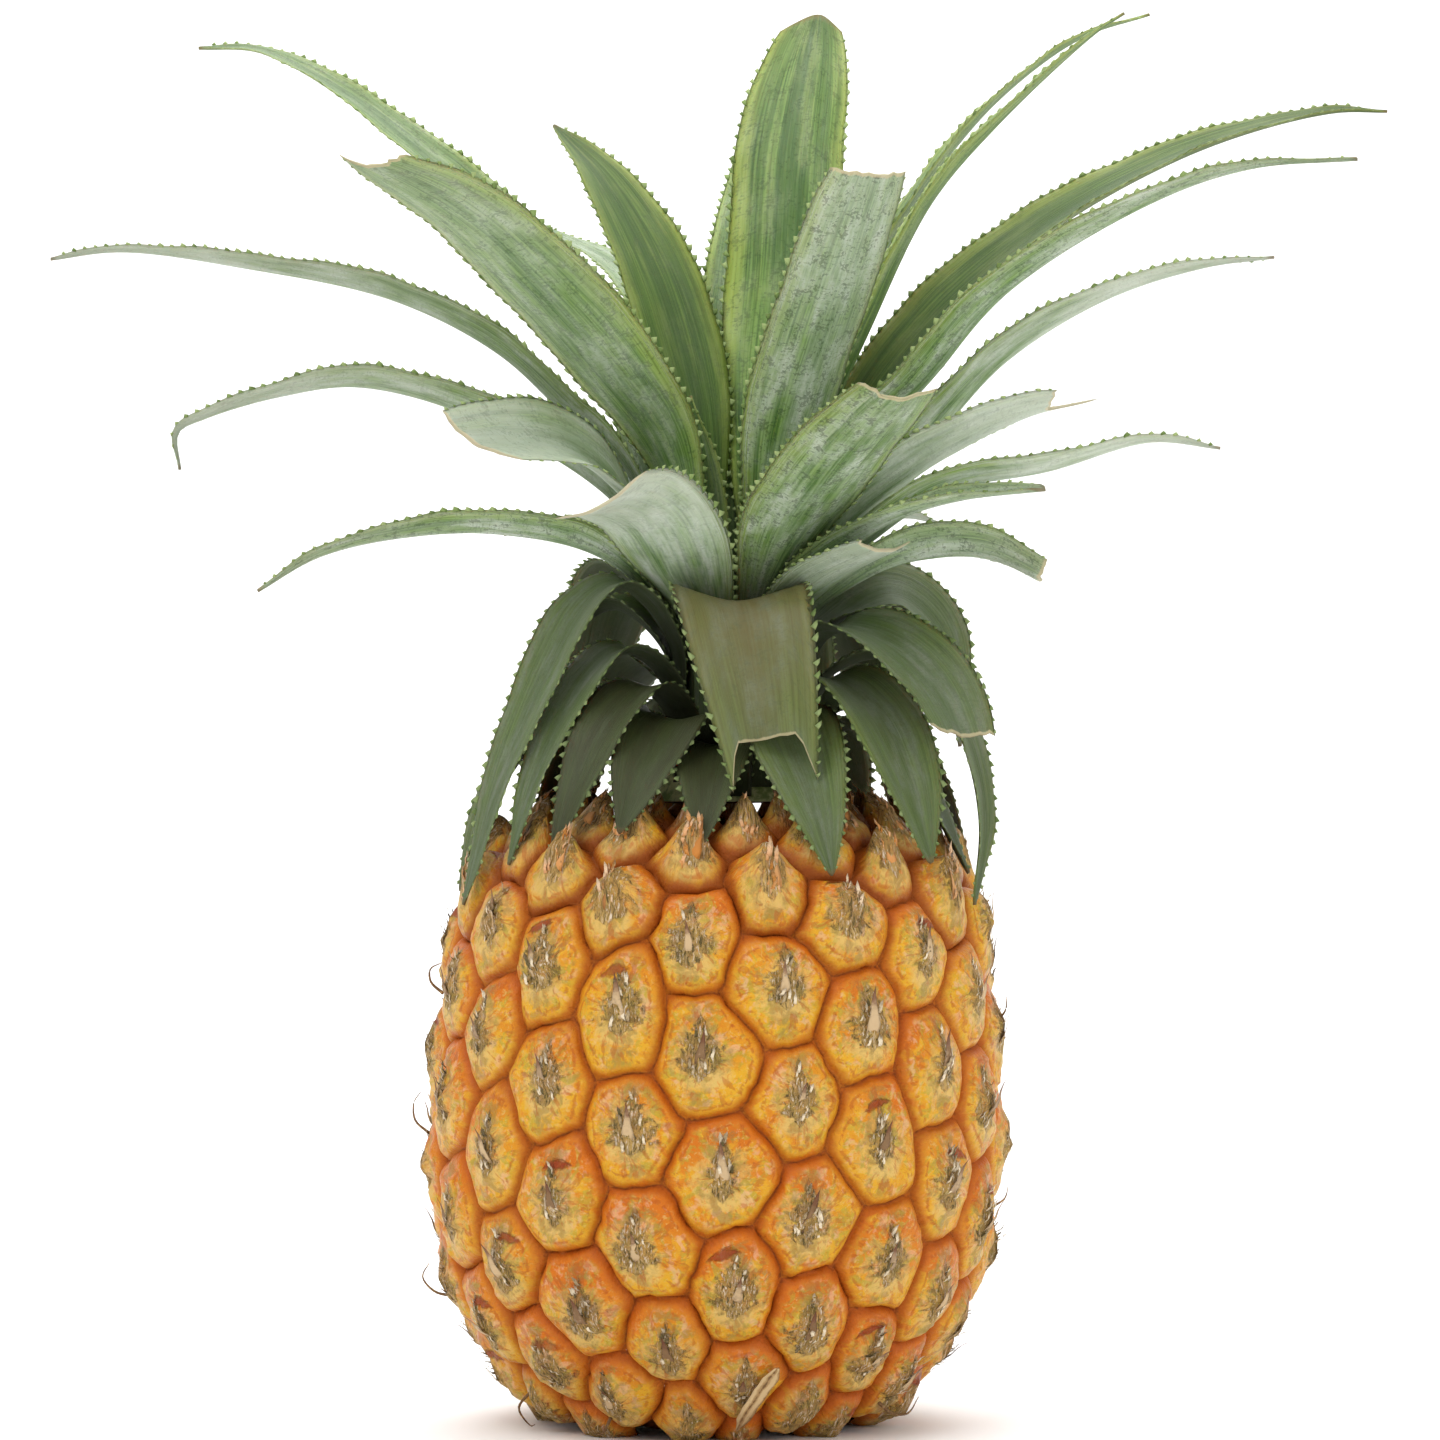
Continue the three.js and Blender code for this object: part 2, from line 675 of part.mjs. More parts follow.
// How far a leaf has grown from its base to its full section, from 0 to 1.
function grown(leaf, midrib, share) {
  return ease(WIDEN_START * midrib.neck, fullWidthAt(leaf, midrib), share * midrib.length);
}

// Half width of a leaf at a share of its length.
function halfWidth(leaf, midrib, share) {
  const full = fullWidthAt(leaf, midrib);
  const wide = THREE.MathUtils.lerp(midrib.baseHalf, leaf.width / 2, grown(leaf, midrib, share));
  const outside = Math.max(0, (share - full / midrib.length) / (1 - full / midrib.length));
  const end = leaf.end ?? POINTED_END;
  return wide * (1 - (1 - end) * outside ** (leaf.taper ?? TAPER_POWER));
}

// Half thickness of a leaf at its midrib.
function halfThickness(leaf, midrib, share) {
  const blade = THREE.MathUtils.lerp(BLADE_THICKNESS, TIP_THICKNESS, share);
  return THREE.MathUtils.lerp(NECK_THICKNESS, blade, grown(leaf, midrib, share)) / 2;
}

// A point of a leaf: share of its length, how far aside in millimetres, how far up from its middle.
function leafPoint(leaf, midrib, share, aside, up) {
  const at = midrib.curve.getPointAt(share);
  const along = midrib.curve.getTangentAt(share);
  const turn = Math.atan2(at.y, at.x);
  const side = new THREE.Vector3(-Math.sin(turn), Math.cos(turn), 0);
  side.addScaledVector(along, -side.dot(along)).normalize();
  const rolled = ease(midrib.neck, midrib.neck + ROLL_LENGTH, share * midrib.length);
  side.applyAxisAngle(along, radians((leaf.roll ?? 0) * rolled));
  const inner = new THREE.Vector3().crossVectors(along, side);
  at.addScaledVector(side, aside).addScaledVector(inner, up);
  return [at.x, at.y, at.z];
}

// A leaf blade folded along its midrib, with hooked spines on both margins. The two faces share the
// vertices of the margins and are split alike.
function leafGeometry(leaf, layer) {
  const midrib = midribOf(leaf, layer);
  const [cutLow, cutMiddle, cutHigh] = leaf.cut ?? [1, 1, 1];
  const vertices = [];
  const triangles = [];
  const add = (point) => {
    vertices.push(...point);
    return vertices.length / 3 - 1;
  };
  const marginPoint = (side, share, spine) => {
    const reach = side < 0 ? cutLow : cutHigh;
    const half = halfWidth(leaf, midrib, share);
    const fold = THREE.MathUtils.lerp(
      midrib.baseFold,
      leaf.channel ?? CHANNEL,
      grown(leaf, midrib, share),
    );
    return add(leafPoint(leaf, midrib, share * reach, side * (half + spine), half * fold));
  };
  const middlePair = (share) => {
    const half = halfThickness(leaf, midrib, share * cutMiddle);
    return [1, -1].map((face) => add(leafPoint(leaf, midrib, share * cutMiddle, 0, face * half)));
  };
  const row = (share) => ({
    middle: middlePair(share),
    margins: [1, -1].map((side) => [marginPoint(side, share, 0)]),
  });
  const spines = Math.max(FEWEST_SPINES, Math.round(midrib.length / SPINE_PITCH));
  const base = SPINE_BASE / midrib.length;
  const hook = SPINE_HOOK / midrib.length;
  const rows = [row(0)];
  for (let spine = 0; spine < spines; spine++) {
    const share = (spine + SPINE_PLACE) / spines;
    rows.push({
      middle: middlePair(share + base / 2),
      margins: [1, -1].map((side) => [
        marginPoint(side, share, 0),
        marginPoint(side, Math.min(1, share + base + hook), SPINE_HEIGHT),
        marginPoint(side, share + base, 0),
      ]),
    });
  }
  rows.push(row(1));
  // One face of one half: a fan from the midrib to the margin points, row by row.
  const weave = (from, to, face, half) => {
    const turned = (face === 0) !== (half === 0);
    const push = (a, b, c) => (turned ? triangles.push(a, b, c) : triangles.push(a, c, b));
    const [inner, outer] = [from.middle[face], to.middle[face]];
    const last = from.margins[half].at(-1);
    push(inner, last, to.margins[half][0]);
    push(inner, to.margins[half][0], outer);
    for (let i = 1; i < to.margins[half].length; i++)
      push(outer, to.margins[half][i - 1], to.margins[half][i]);
  };
  for (let i = 1; i < rows.length; i++)
    for (const face of [0, 1]) for (const half of [0, 1]) weave(rows[i - 1], rows[i], face, half);
  const cap = (end, turned) => {
    const [upper, lower] = end.middle;
    for (const half of [0, 1]) {
      const margin = end.margins[half][0];
      if ((half === 0) !== turned) triangles.push(upper, lower, margin);
      else triangles.push(upper, margin, lower);
    }
  };
  cap(rows[0], true);
  cap(rows.at(-1), false);
  return geometryOf(solidOf(vertices, triangles));
}

// ---- Assembly ----

function finish(color, roughness) {
  return new THREE.MeshStandardMaterial({ color, roughness, metalness: 0, side: THREE.FrontSide });
}

function piece(name, geometry, material) {
  const mesh = new THREE.Mesh(geometry, material);
  mesh.name = name;
  return mesh;
}

const skin = finish(0xd98f2b, 0.5);
const leafGreen = finish(0x7d9a5c, 0.55);
const dryWood = finish(0xb79a6b, 0.85);

const pineapple = new THREE.Group();
pineapple.add(piece("fruit", fruitGeometry(), skin));
const stalk = solidOfGeometry(roundBlock(STALK_RADIUS, 0, STALK_LENGTH, STALK_SIDES));
pineapple.add(piece("stalk_stub", geometryOf(stalk), dryWood));
pineapple.add(piece("basal_bract", stripGeometry(), dryWood));

const crown = new THREE.Group();
crown.position.set(CROWN_X, 0, 0);
crown.add(piece("crown_stem", stemGeometry(), leafGreen));
LEAVES.forEach((leaf, layer) => crown.add(piece(leaf.name, leafGeometry(leaf, layer), leafGreen)));
pineapple.add(crown);

export default pineapple;
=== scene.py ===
"""The looks of a small ripe pineapple with its crown of spiny leaves.

The skin, the leaves and the dry strip at the foot are finer pieces that stand for their solids. The dry
flower remains, the bract tips, the spines along the leaf margins and the loose fibres are added here.
Sizes are written in millimetres and turned to metres when a mesh is made.
"""

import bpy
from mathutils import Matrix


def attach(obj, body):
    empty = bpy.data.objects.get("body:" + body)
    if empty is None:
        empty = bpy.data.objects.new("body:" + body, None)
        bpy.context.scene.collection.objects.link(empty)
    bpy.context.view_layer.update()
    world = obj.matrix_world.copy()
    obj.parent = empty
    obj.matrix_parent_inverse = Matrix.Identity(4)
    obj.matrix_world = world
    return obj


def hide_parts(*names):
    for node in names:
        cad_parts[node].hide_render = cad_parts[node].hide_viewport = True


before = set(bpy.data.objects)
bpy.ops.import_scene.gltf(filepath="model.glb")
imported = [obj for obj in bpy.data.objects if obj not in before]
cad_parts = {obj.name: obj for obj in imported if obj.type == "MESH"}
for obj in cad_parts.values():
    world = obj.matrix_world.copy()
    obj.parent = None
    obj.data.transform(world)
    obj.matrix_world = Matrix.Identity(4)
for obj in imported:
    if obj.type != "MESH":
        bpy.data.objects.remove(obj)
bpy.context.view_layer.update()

import logging
import math
import random
from dataclasses import dataclass, field
from enum import Enum

import bmesh
import bpy
import numpy as np
from mathutils import Vector, noise

log = logging.getLogger("pineapple")

Array = np.ndarray
Colour = tuple[int, int, int]
Material = bpy.types.Material
Object = bpy.types.Object
Pair = tuple[float, float]
Rows = tuple[tuple[float, float, float, float, float], ...]
Socket = bpy.types.NodeSocket
Triple = tuple[float, float, float]

MM = 0.001
ROOT = "root"


# ---- Small helpers ----


def smooth(low: float, high: float, value: Array | float) -> Array | float:
    """A smooth step from 0 to 1 while a value goes from low to high.

    Args:
        low: value at which the step starts.
        high: value at which it ends.
        value: one number or an array.

    Returns:
        The step, with the shape of value.
    """
    share = np.clip((value - low) / (high - low), 0.0, 1.0)
    return share * share * (3 - 2 * share)


def blend(low: float, high: float, share: Array | float) -> Array | float:
    """The value a share of the way from low to high."""
    return low + (high - low) * share


def linear(colour: Colour) -> tuple[float, ...]:
    """A colour as it is seen, 0 to 255 a channel, as the linear colour that a shader takes."""
    return (*(((c / 255 + 0.055) / 1.055) ** 2.4 if c > 10 else c / 3295 for c in colour), 1.0)


def unit(vectors: Array) -> Array:
    """Vectors, one a row, scaled to length 1."""
    return vectors / np.maximum(np.linalg.norm(vectors, axis=-1, keepdims=True), 1e-12)


def lengths(points: Array) -> Array:
    """Distance along a line of points at each of them."""
    return np.concatenate([[0.0], np.cumsum(np.linalg.norm(np.diff(points, axis=0), axis=1))])


def read(distance: Array, reached: Array, points: Array) -> Array:
    """Points of a line at distances along it, one a row."""
    return np.stack([np.interp(distance, reached, column) for column in points.T], axis=-1)


def show(name: str, data: bpy.types.ID) -> Object:
    """Makes an object of a mesh, light or camera and links it to the scene.

    Args:
        name: the object's name.
        data: what it shows.

    Returns:
        The object.
    """
    made = bpy.data.objects.new(name, data)
    bpy.context.scene.collection.objects.link(made)
    return made


@dataclass
class Sheet:
    """The points and faces of one piece while it is made, with what its finish reads.

    Attributes:
        points: places in millimetres.
        faces: corner numbers of each face.
        edges: point numbers of each loose edge.
        corner_map: a pair of numbers for every corner of every face, as the piece's map.
        on_points: named numbers or vectors, one for each point.
        on_faces: named numbers, one for each face.
    """

    points: list = field(default_factory=list)
    faces: list = field(default_factory=list)
    edges: list = field(default_factory=list)
    corner_map: list = field(default_factory=list)
    on_points: dict[str, list] = field(default_factory=dict)
    on_faces: dict[str, list] = field(default_factory=dict)

    def walls(self, start: int, rows: int, around: int) -> None:
        """Adds the faces between closed rings of points.

        Args:
            start: number of the first point of the first ring.
            rows: number of rings.
            around: points in each.
        """
        for row in range(rows - 1):
            for i in range(around):
                low, after = start + row * around, (i + 1) % around
                self.faces.append([low + i, low + after, low + around + after, low + around + i])

    def to_object(self, name: str, materials: list[Material], merge: float = 0.0) -> Object:
        """Makes the mesh object.

        Args:
            name: the piece's name.
            materials: its finishes, the first one on every face.
            merge: points closer than this, in millimetres, become one.

        Returns:
            The object, linked to the scene, at the origin.
        """
        mesh = bpy.data.meshes.new(name)
        points = np.asarray(self.points, float) * MM
        mesh.from_pydata(points.tolist(), self.edges, self.faces)
        if self.corner_map:
            layer = mesh.uv_layers.new(name="own_map")
            layer.data.foreach_set("uv", np.asarray(self.corner_map, np.float32).ravel())
        for domain, carried in (("POINT", self.on_points), ("FACE", self.on_faces)):
            for key, values in carried.items():
                wide = np.ndim(values) == 2
                slot = mesh.attributes.new(key, "FLOAT_VECTOR" if wide else "FLOAT", domain)
                slot.data.foreach_set("vector" if wide else "value", np.asarray(values, np.float32).ravel())
        if merge:
            work = bmesh.new()
            work.from_mesh(mesh)
            bmesh.ops.remove_doubles(work, verts=work.verts, dist=merge * MM)
            bmesh.ops.dissolve_degenerate(work, dist=merge * MM * 0.1, edges=work.edges)
            bmesh.ops.recalc_face_normals(work, faces=work.faces)
            work.to_mesh(mesh)
            work.free()
        mesh.polygons.foreach_set("use_smooth", [True] * len(mesh.polygons))
        mesh.update()
        for material in materials:
            mesh.materials.append(material)
        return show(name, mesh)


class Curve3:
    """A smooth centripetal curve through points, read by its share of length."""

    FINE = 600

    def __init__(self, places: Array) -> None:
        """Samples the curve.

        Args:
            places: the points that it passes through, one a row.
        """
        padded = np.vstack([2 * places[0] - places[1], places, 2 * places[-1] - places[-2]])
        spans = len(places) - 1
        samples = []
        for t in np.linspace(0, spans, self.FINE):
            i = min(int(t), spans - 1)
            w = t - i
            p0, p1, p2, p3 = padded[i : i + 4]
            d0, d1, d2 = (float(np.linalg.norm(b - a)) ** 0.5 for a, b in ((p0, p1), (p1, p2), (p2, p3)))
            m1 = ((p1 - p0) / d0 - (p2 - p0) / (d0 + d1) + (p2 - p1) / d1) * d1
            m2 = ((p2 - p1) / d1 - (p3 - p1) / (d1 + d2) + (p3 - p2) / d2) * d1
            c2 = -3 * p1 + 3 * p2 - 2 * m1 - m2
            c3 = 2 * p1 - 2 * p2 + m1 + m2
            samples.append(p1 + m1 * w + c2 * w**2 + c3 * w**3)
        self.samples = np.asarray(samples)
        self.reached = lengths(self.samples)
        self.length = float(self.reached[-1])

    def at(self, share: Array) -> Array:
        """Finds points; a share past the end goes straight on.

        Args:
            share: shares of the length.

        Returns:
            The points, one a row.
        """
        distance = np.asarray(share, float) * self.length
        found = read(np.clip(distance, 0, self.length), self.reached, self.samples)
        last = unit((self.samples[-1] - self.samples[-8])[None])[0]
        return found + np.maximum(distance - self.length, 0)[..., None] * last

    def along(self, share: Array) -> Array:
        """Finds directions.

        Args:
            share: shares of the length.

        Returns:
            The directions of the curve, one a row.
        """
        step = 0.004
        low = np.clip(np.asarray(share, float) - step, 0, 1 - 2 * step)
        return unit(self.at(low + 2 * step) - self.at(low))


# ---- Node building ----


class Value:
    """A number that varies over a surface: a node's output, with arithmetic."""

    def __init__(self, tree: bpy.types.NodeTree, socket: Socket) -> None:
        """Keeps the tree and the output."""
        self.tree = tree
        self.socket = socket

    def _math(self, operation: str, first: "Number", second: "Number | None" = None) -> "Value":
        """Adds one Math node.

        Args:
            operation: the node's operation.
            first: its first input.
            second: its second input, where it has one.

        Returns:
            The node's output.
        """
        node = self.tree.nodes.new("ShaderNodeMath")
        node.operation = operation
        for place, given in enumerate((first, second)):
            if isinstance(given, Value):
                self.tree.links.new(given.socket, node.inputs[place])
            elif given is not None:
                node.inputs[place].default_value = given
        return Value(self.tree, node.outputs[0])

    def __add__(self, other: "Number") -> "Value":
        """Sum."""
        return self._math("ADD", self, other)

    __radd__ = __add__

    def __sub__(self, other: "Number") -> "Value":
        """Difference."""
        return self._math("SUBTRACT", self, other)

    def __rsub__(self, other: float) -> "Value":
        """Difference from a number."""
        return self._math("SUBTRACT", other, self)

    def __mul__(self, other: "Number") -> "Value":
        """Product."""
        return self._math("MULTIPLY", self, other)

    __rmul__ = __mul__

    def __truediv__(self, other: "Number") -> "Value":
        """Quotient."""
        return self._math("DIVIDE", self, other)

    def __pow__(self, other: float) -> "Value":
        """Power."""
        return self._math("POWER", self, other)

    def size(self) -> "Value":
        """The value without its sign."""
        return self._math("ABSOLUTE", self)

    def least(self, other: "Number") -> "Value":
        """The smaller of two values."""
        return self._math("MINIMUM", self, other)

    def most(self, other: "Number") -> "Value":
        """The larger of two values."""
        return self._math("MAXIMUM", self, other)

    def step(self, low: float, high: float) -> "Value":
        """A smooth step from 0 to 1 between two levels of the value.

        Args:
            low: level at which it is 0.
            high: level at which it is 1, above or below low.

        Returns:
            The step.
        """
        node = self.tree.nodes.new("ShaderNodeMapRange")
        node.interpolation_type = "SMOOTHSTEP"
        self.tree.links.new(self.socket, node.inputs["Value"])
        falling = high < low
        node.inputs["From Min"].default_value = min(low, high)
        node.inputs["From Max"].default_value = max(low, high)
        node.inputs["To Min"].default_value = 1.0 if falling else 0.0
        node.inputs["To Max"].default_value = 0.0 if falling else 1.0
        return Value(self.tree, node.outputs["Result"])


Number = Value | float
Given = Socket | float | tuple[float, ...]


class NodeTree:
    """A tree of nodes under construction."""

    def __init__(self, tree: bpy.types.NodeTree) -> None:
        """Keeps the tree."""
        self.tree = tree

    def node(self, kind: str, settings: dict | None = None, inputs: dict | None = None) -> bpy.types.Node:
        """Adds any node.

        Args:
            kind: the node's type.
            settings: its properties, set first.
            inputs: values or outputs for its sockets, by name or number.

        Returns:
            The node.
        """
        made = self.tree.nodes.new(kind)
        for key, given in (settings or {}).items():
            setattr(made, key, given)
        for key, given in (inputs or {}).items():
            if isinstance(given, Value):
                self.tree.links.new(given.socket, made.inputs[key])
            elif isinstance(given, Socket):
                self.tree.links.new(given, made.inputs[key])
            else:
                made.inputs[key].default_value = given
        return made


class Finish(NodeTree):
    """A material under construction, with one method for each kind of step."""

    COAT_ROUGHNESS = 0.3
    LIGHT_DEPTH = 4.0

    def __init__(self, name: str, colour: Colour) -> None:
        """Starts a material.

        Args:
            name: the material's name.
            colour: its ground colour.
        """
        self.colour: tuple | Socket = linear(colour)
        self.material = bpy.data.materials.new(name)
        self.material.use_nodes = True
        super().__init__(self.material.node_tree)
        self.tree.nodes.clear()

    def attributes(self, *names: str) -> list[Value]:
        """Numbers that the piece carries, by their names."""
        found = [self.node("ShaderNodeAttribute", {"attribute_name": name}) for name in names]
        return [Value(self.tree, node.outputs["Fac"]) for node in found]

    def own_map(self) -> tuple[Value, Value]:
        """Reads the piece's own map.

        Returns:
            Its two numbers.
        """
        found = self.node("ShaderNodeUVMap", {"uv_map": "own_map"})
        parts = self.node("ShaderNodeSeparateXYZ", inputs={0: found.outputs[0]})
        return Value(self.tree, parts.outputs[0]), Value(self.tree, parts.outputs[1])

    def place(self) -> Socket:
        """The place on the object, in metres."""
        return self.node("ShaderNodeTexCoord").outputs["Object"]

    def vector(self, x: Number, y: Number, z: Number = 0.0) -> Socket:
        """A vector of three values."""
        return self.node("ShaderNodeCombineXYZ", inputs={0: x, 1: y, 2: z}).outputs[0]

    def cloud(
        self, place: Socket | tuple, scale: float, detail: float = 2.0, rough: float = 0.5, warp: float = 0.0
    ) -> Value:
        """Soft noise between 0 and 1.

        Args:
            place: where it is read, as an output or three numbers.
            scale: repeats in each unit of place.
            detail: octaves.
            rough: strength of the finer octaves.
            warp: how far it is bent.

        Returns:
            The noise.
        """
        if isinstance(place, tuple):
            place = self.vector(*place)
        inputs = {"Vector": place, "Scale": scale, "Detail": detail, "Roughness": rough, "Distortion": warp}
        return Value(self.tree, self.node("ShaderNodeTexNoise", inputs=inputs).outputs["Fac"])

    def paint(self, mask: Number, colour: Colour) -> None:
        """Lays a colour over what is painted so far, where a mask from 0 to 1 is high."""
        settings = {"data_type": "RGBA", "clamp_factor": True}
        inputs = {0: mask, 6: self.colour, 7: linear(colour)}
        self.colour = self.node("ShaderNodeMix", settings, inputs).outputs[2]

    def close(
        self,
        roughness: Number,
        height: Value | None = None,
        depth: float = 0.3,
        coat: Number = 0.0,
        soft: float = 0.0,
        shine: float = 0.3,
    ) -> Material:
        """Ends the material with its surface shader.

        Args:
            roughness: how matt it is.
            height: relief from 0 to 1.
            depth: depth of that relief in millimetres.
            coat: strength of a clear coat.
            soft: share of light that goes into the body.
            shine: strength of the reflection.

        Returns:
            The finished material.
        """
        inputs = {
            "Base Color": self.colour, "Roughness": roughness, "Specular IOR Level": shine,
            "Coat Weight": coat, "Coat Roughness": self.COAT_ROUGHNESS,
            "Subsurface Weight": soft, "Subsurface Scale": self.LIGHT_DEPTH * MM,
        }
        if height is not None:
            relief = {"Strength": 1.0, "Distance": depth * MM, "Height": height}
            inputs["Normal"] = self.node("ShaderNodeBump", inputs=relief).outputs[0]
        shader = self.node("ShaderNodeBsdfPrincipled", inputs=inputs)
        out = self.node("ShaderNodeOutputMaterial")
        self.tree.links.new(shader.outputs[0], out.inputs["Surface"])
        return self.material


# ---- Fruit ----


@dataclass(frozen=True)
class SkinProfile:
    """The outline of the fruit, turned about its leaning axis.

    Attributes:
        outline: radius and height of points from the base to the top, in millimetres.
        lean: how far the top stands to the right.
        top: height at which it stands that far over.
        samples: number of fine points along the outline.
    """

    outline: tuple[Pair, ...] = (
        (14, -9), (24, -4), (32, 1), (38.5, 6), (43.5, 13), (48.5, 20), (52.5, 29), (55.3, 41), (56.6, 56),
        (56, 73), (54.3, 88), (53, 98), (50.5, 107), (46, 113.5), (38.5, 119), (29, 122.5), (19, 125),
        (8, 126),
    )
    lean: float = 1.5
    top: float = 125.0
    samples: int = 2400

    def sampled(self) -> Array:
        """Makes the outline smooth.

        Returns:
            Fine points along it, one a row.
        """
        given = np.asarray(self.outline, float)
        padded = np.vstack([given[0], given, given[-1]])
        spans = len(given) - 1
        fine = []
        for t in np.linspace(0, spans, self.samples):
            i = min(int(t), spans - 1)
            w = t - i
            p0, p1, p2, p3 = padded[i : i + 4]
            v0, v1 = (p2 - p0) / 2, (p3 - p1) / 2
            c2 = -3 * p1 + 3 * p2 - 2 * v0 - v1
            c3 = 2 * p1 - 2 * p2 + v0 + v1
            fine.append(c3 * w**3 + c2 * w**2 + v0 * w + p1)
        return np.asarray(fine)


class SkinSurface:
    """Reads points of the skin from the turn about the axis and the distance up the outline."""

    def __init__(self, profile: SkinProfile) -> None:
        """Samples the outline.

        Args:
            profile: the outline to follow.
        """
        self.profile = profile
        self.fine = profile.sampled()
        self.reached = lengths(self.fine)
        self.length = float(self.reached[-1])

    def radius(self, distance: float) -> float:
        """Radius of the outline at a distance along it."""
        return float(np.interp(distance, self.reached, self.fine[:, 0]))

    def distance(self, height: float) -> float:
        """Distance along the outline at which it passes a height."""
        return float(np.interp(height, self.fine[:, 1], self.reached))

    def outline(self, distance: Array) -> Array:
        """Radius and height of the outline at distances along it, one pair a row."""
        return read(distance, self.reached, self.fine)

    def at(self, turn: Array, distance: Array, lift: Array) -> Array:
        """Points of the skin.

        Args:
            turn: degrees about the axis.
            distance: millimetres along the outline.
            lift: millimetres outward.

        Returns:
            The points, one a row, in millimetres.
        """
        inside = np.clip(distance, 0, self.length)
        before = np.clip(inside - 0.5, 0, self.length - 1)
        spot = self.outline(inside)
        along = unit(self.outline(before + 1) - self.outline(before))
        radius = spot[..., 0] + along[..., 1] * lift
        height = spot[..., 1] - along[..., 0] * lift
        over = self.profile.lean * (np.maximum(height, 0) / self.profile.top) ** 2
        angle = np.radians(turn)
        return np.stack([radius * np.cos(angle) + over, radius * np.sin(angle), height], axis=-1)


@dataclass(frozen=True)
class EyeRule:
    """How the eyes wind round the fruit in three families of spirals.

    Attributes:
        turn: degrees from one eye to the next below it.
        rise: millimetres from one eye to the next at the widest place.
        power_below: how the rise follows the radius below the widest place.
        power_above: the same above it.
        widest: radius there.
        widest_height: height there.
        first: number of the lowest eye.
        last: number of the highest eye.
        front_turn: degrees of eye 0.
        front_height: height of eye 0.
        spirals: steps between neighbours.
    """

    turn: float = 137.28
    rise: float = 1.1
    power_below: float = 0.5
    power_above: float = 1.7
    widest: float = 56.6
    widest_height: float = 56.0
    first: int = -84
    last: int = 74
    front_turn: float = -92.0
    front_height: float = 76.5
    spirals: tuple[int, int, int] = (8, 13, 21)

    def step(self, steps: int) -> float:
        """Turn of an eye against one that many steps below, between -180 and 180 degrees."""
        return (-steps * self.turn + 180) % 360 - 180


@dataclass(frozen=True)
class Eye:
    """One eye of the fruit.

    Attributes:
        number: place in the winding.
        turn: degrees about the axis.
        distance: millimetres up the outline.
        corners: the six corners as degrees aside and millimetres up from the middle.
        seed: number between 0 and 1 that sets its colours.
        crown: from 0 to 1 where it lies under the crown.
        drift: how far its withered flower stands aside, in millimetres.
        breadth: how broad that flower is against the common one.
    """

    number: int
    turn: float
    distance: float
    corners: Array
    seed: float
    crown: float
    drift: float
    breadth: float


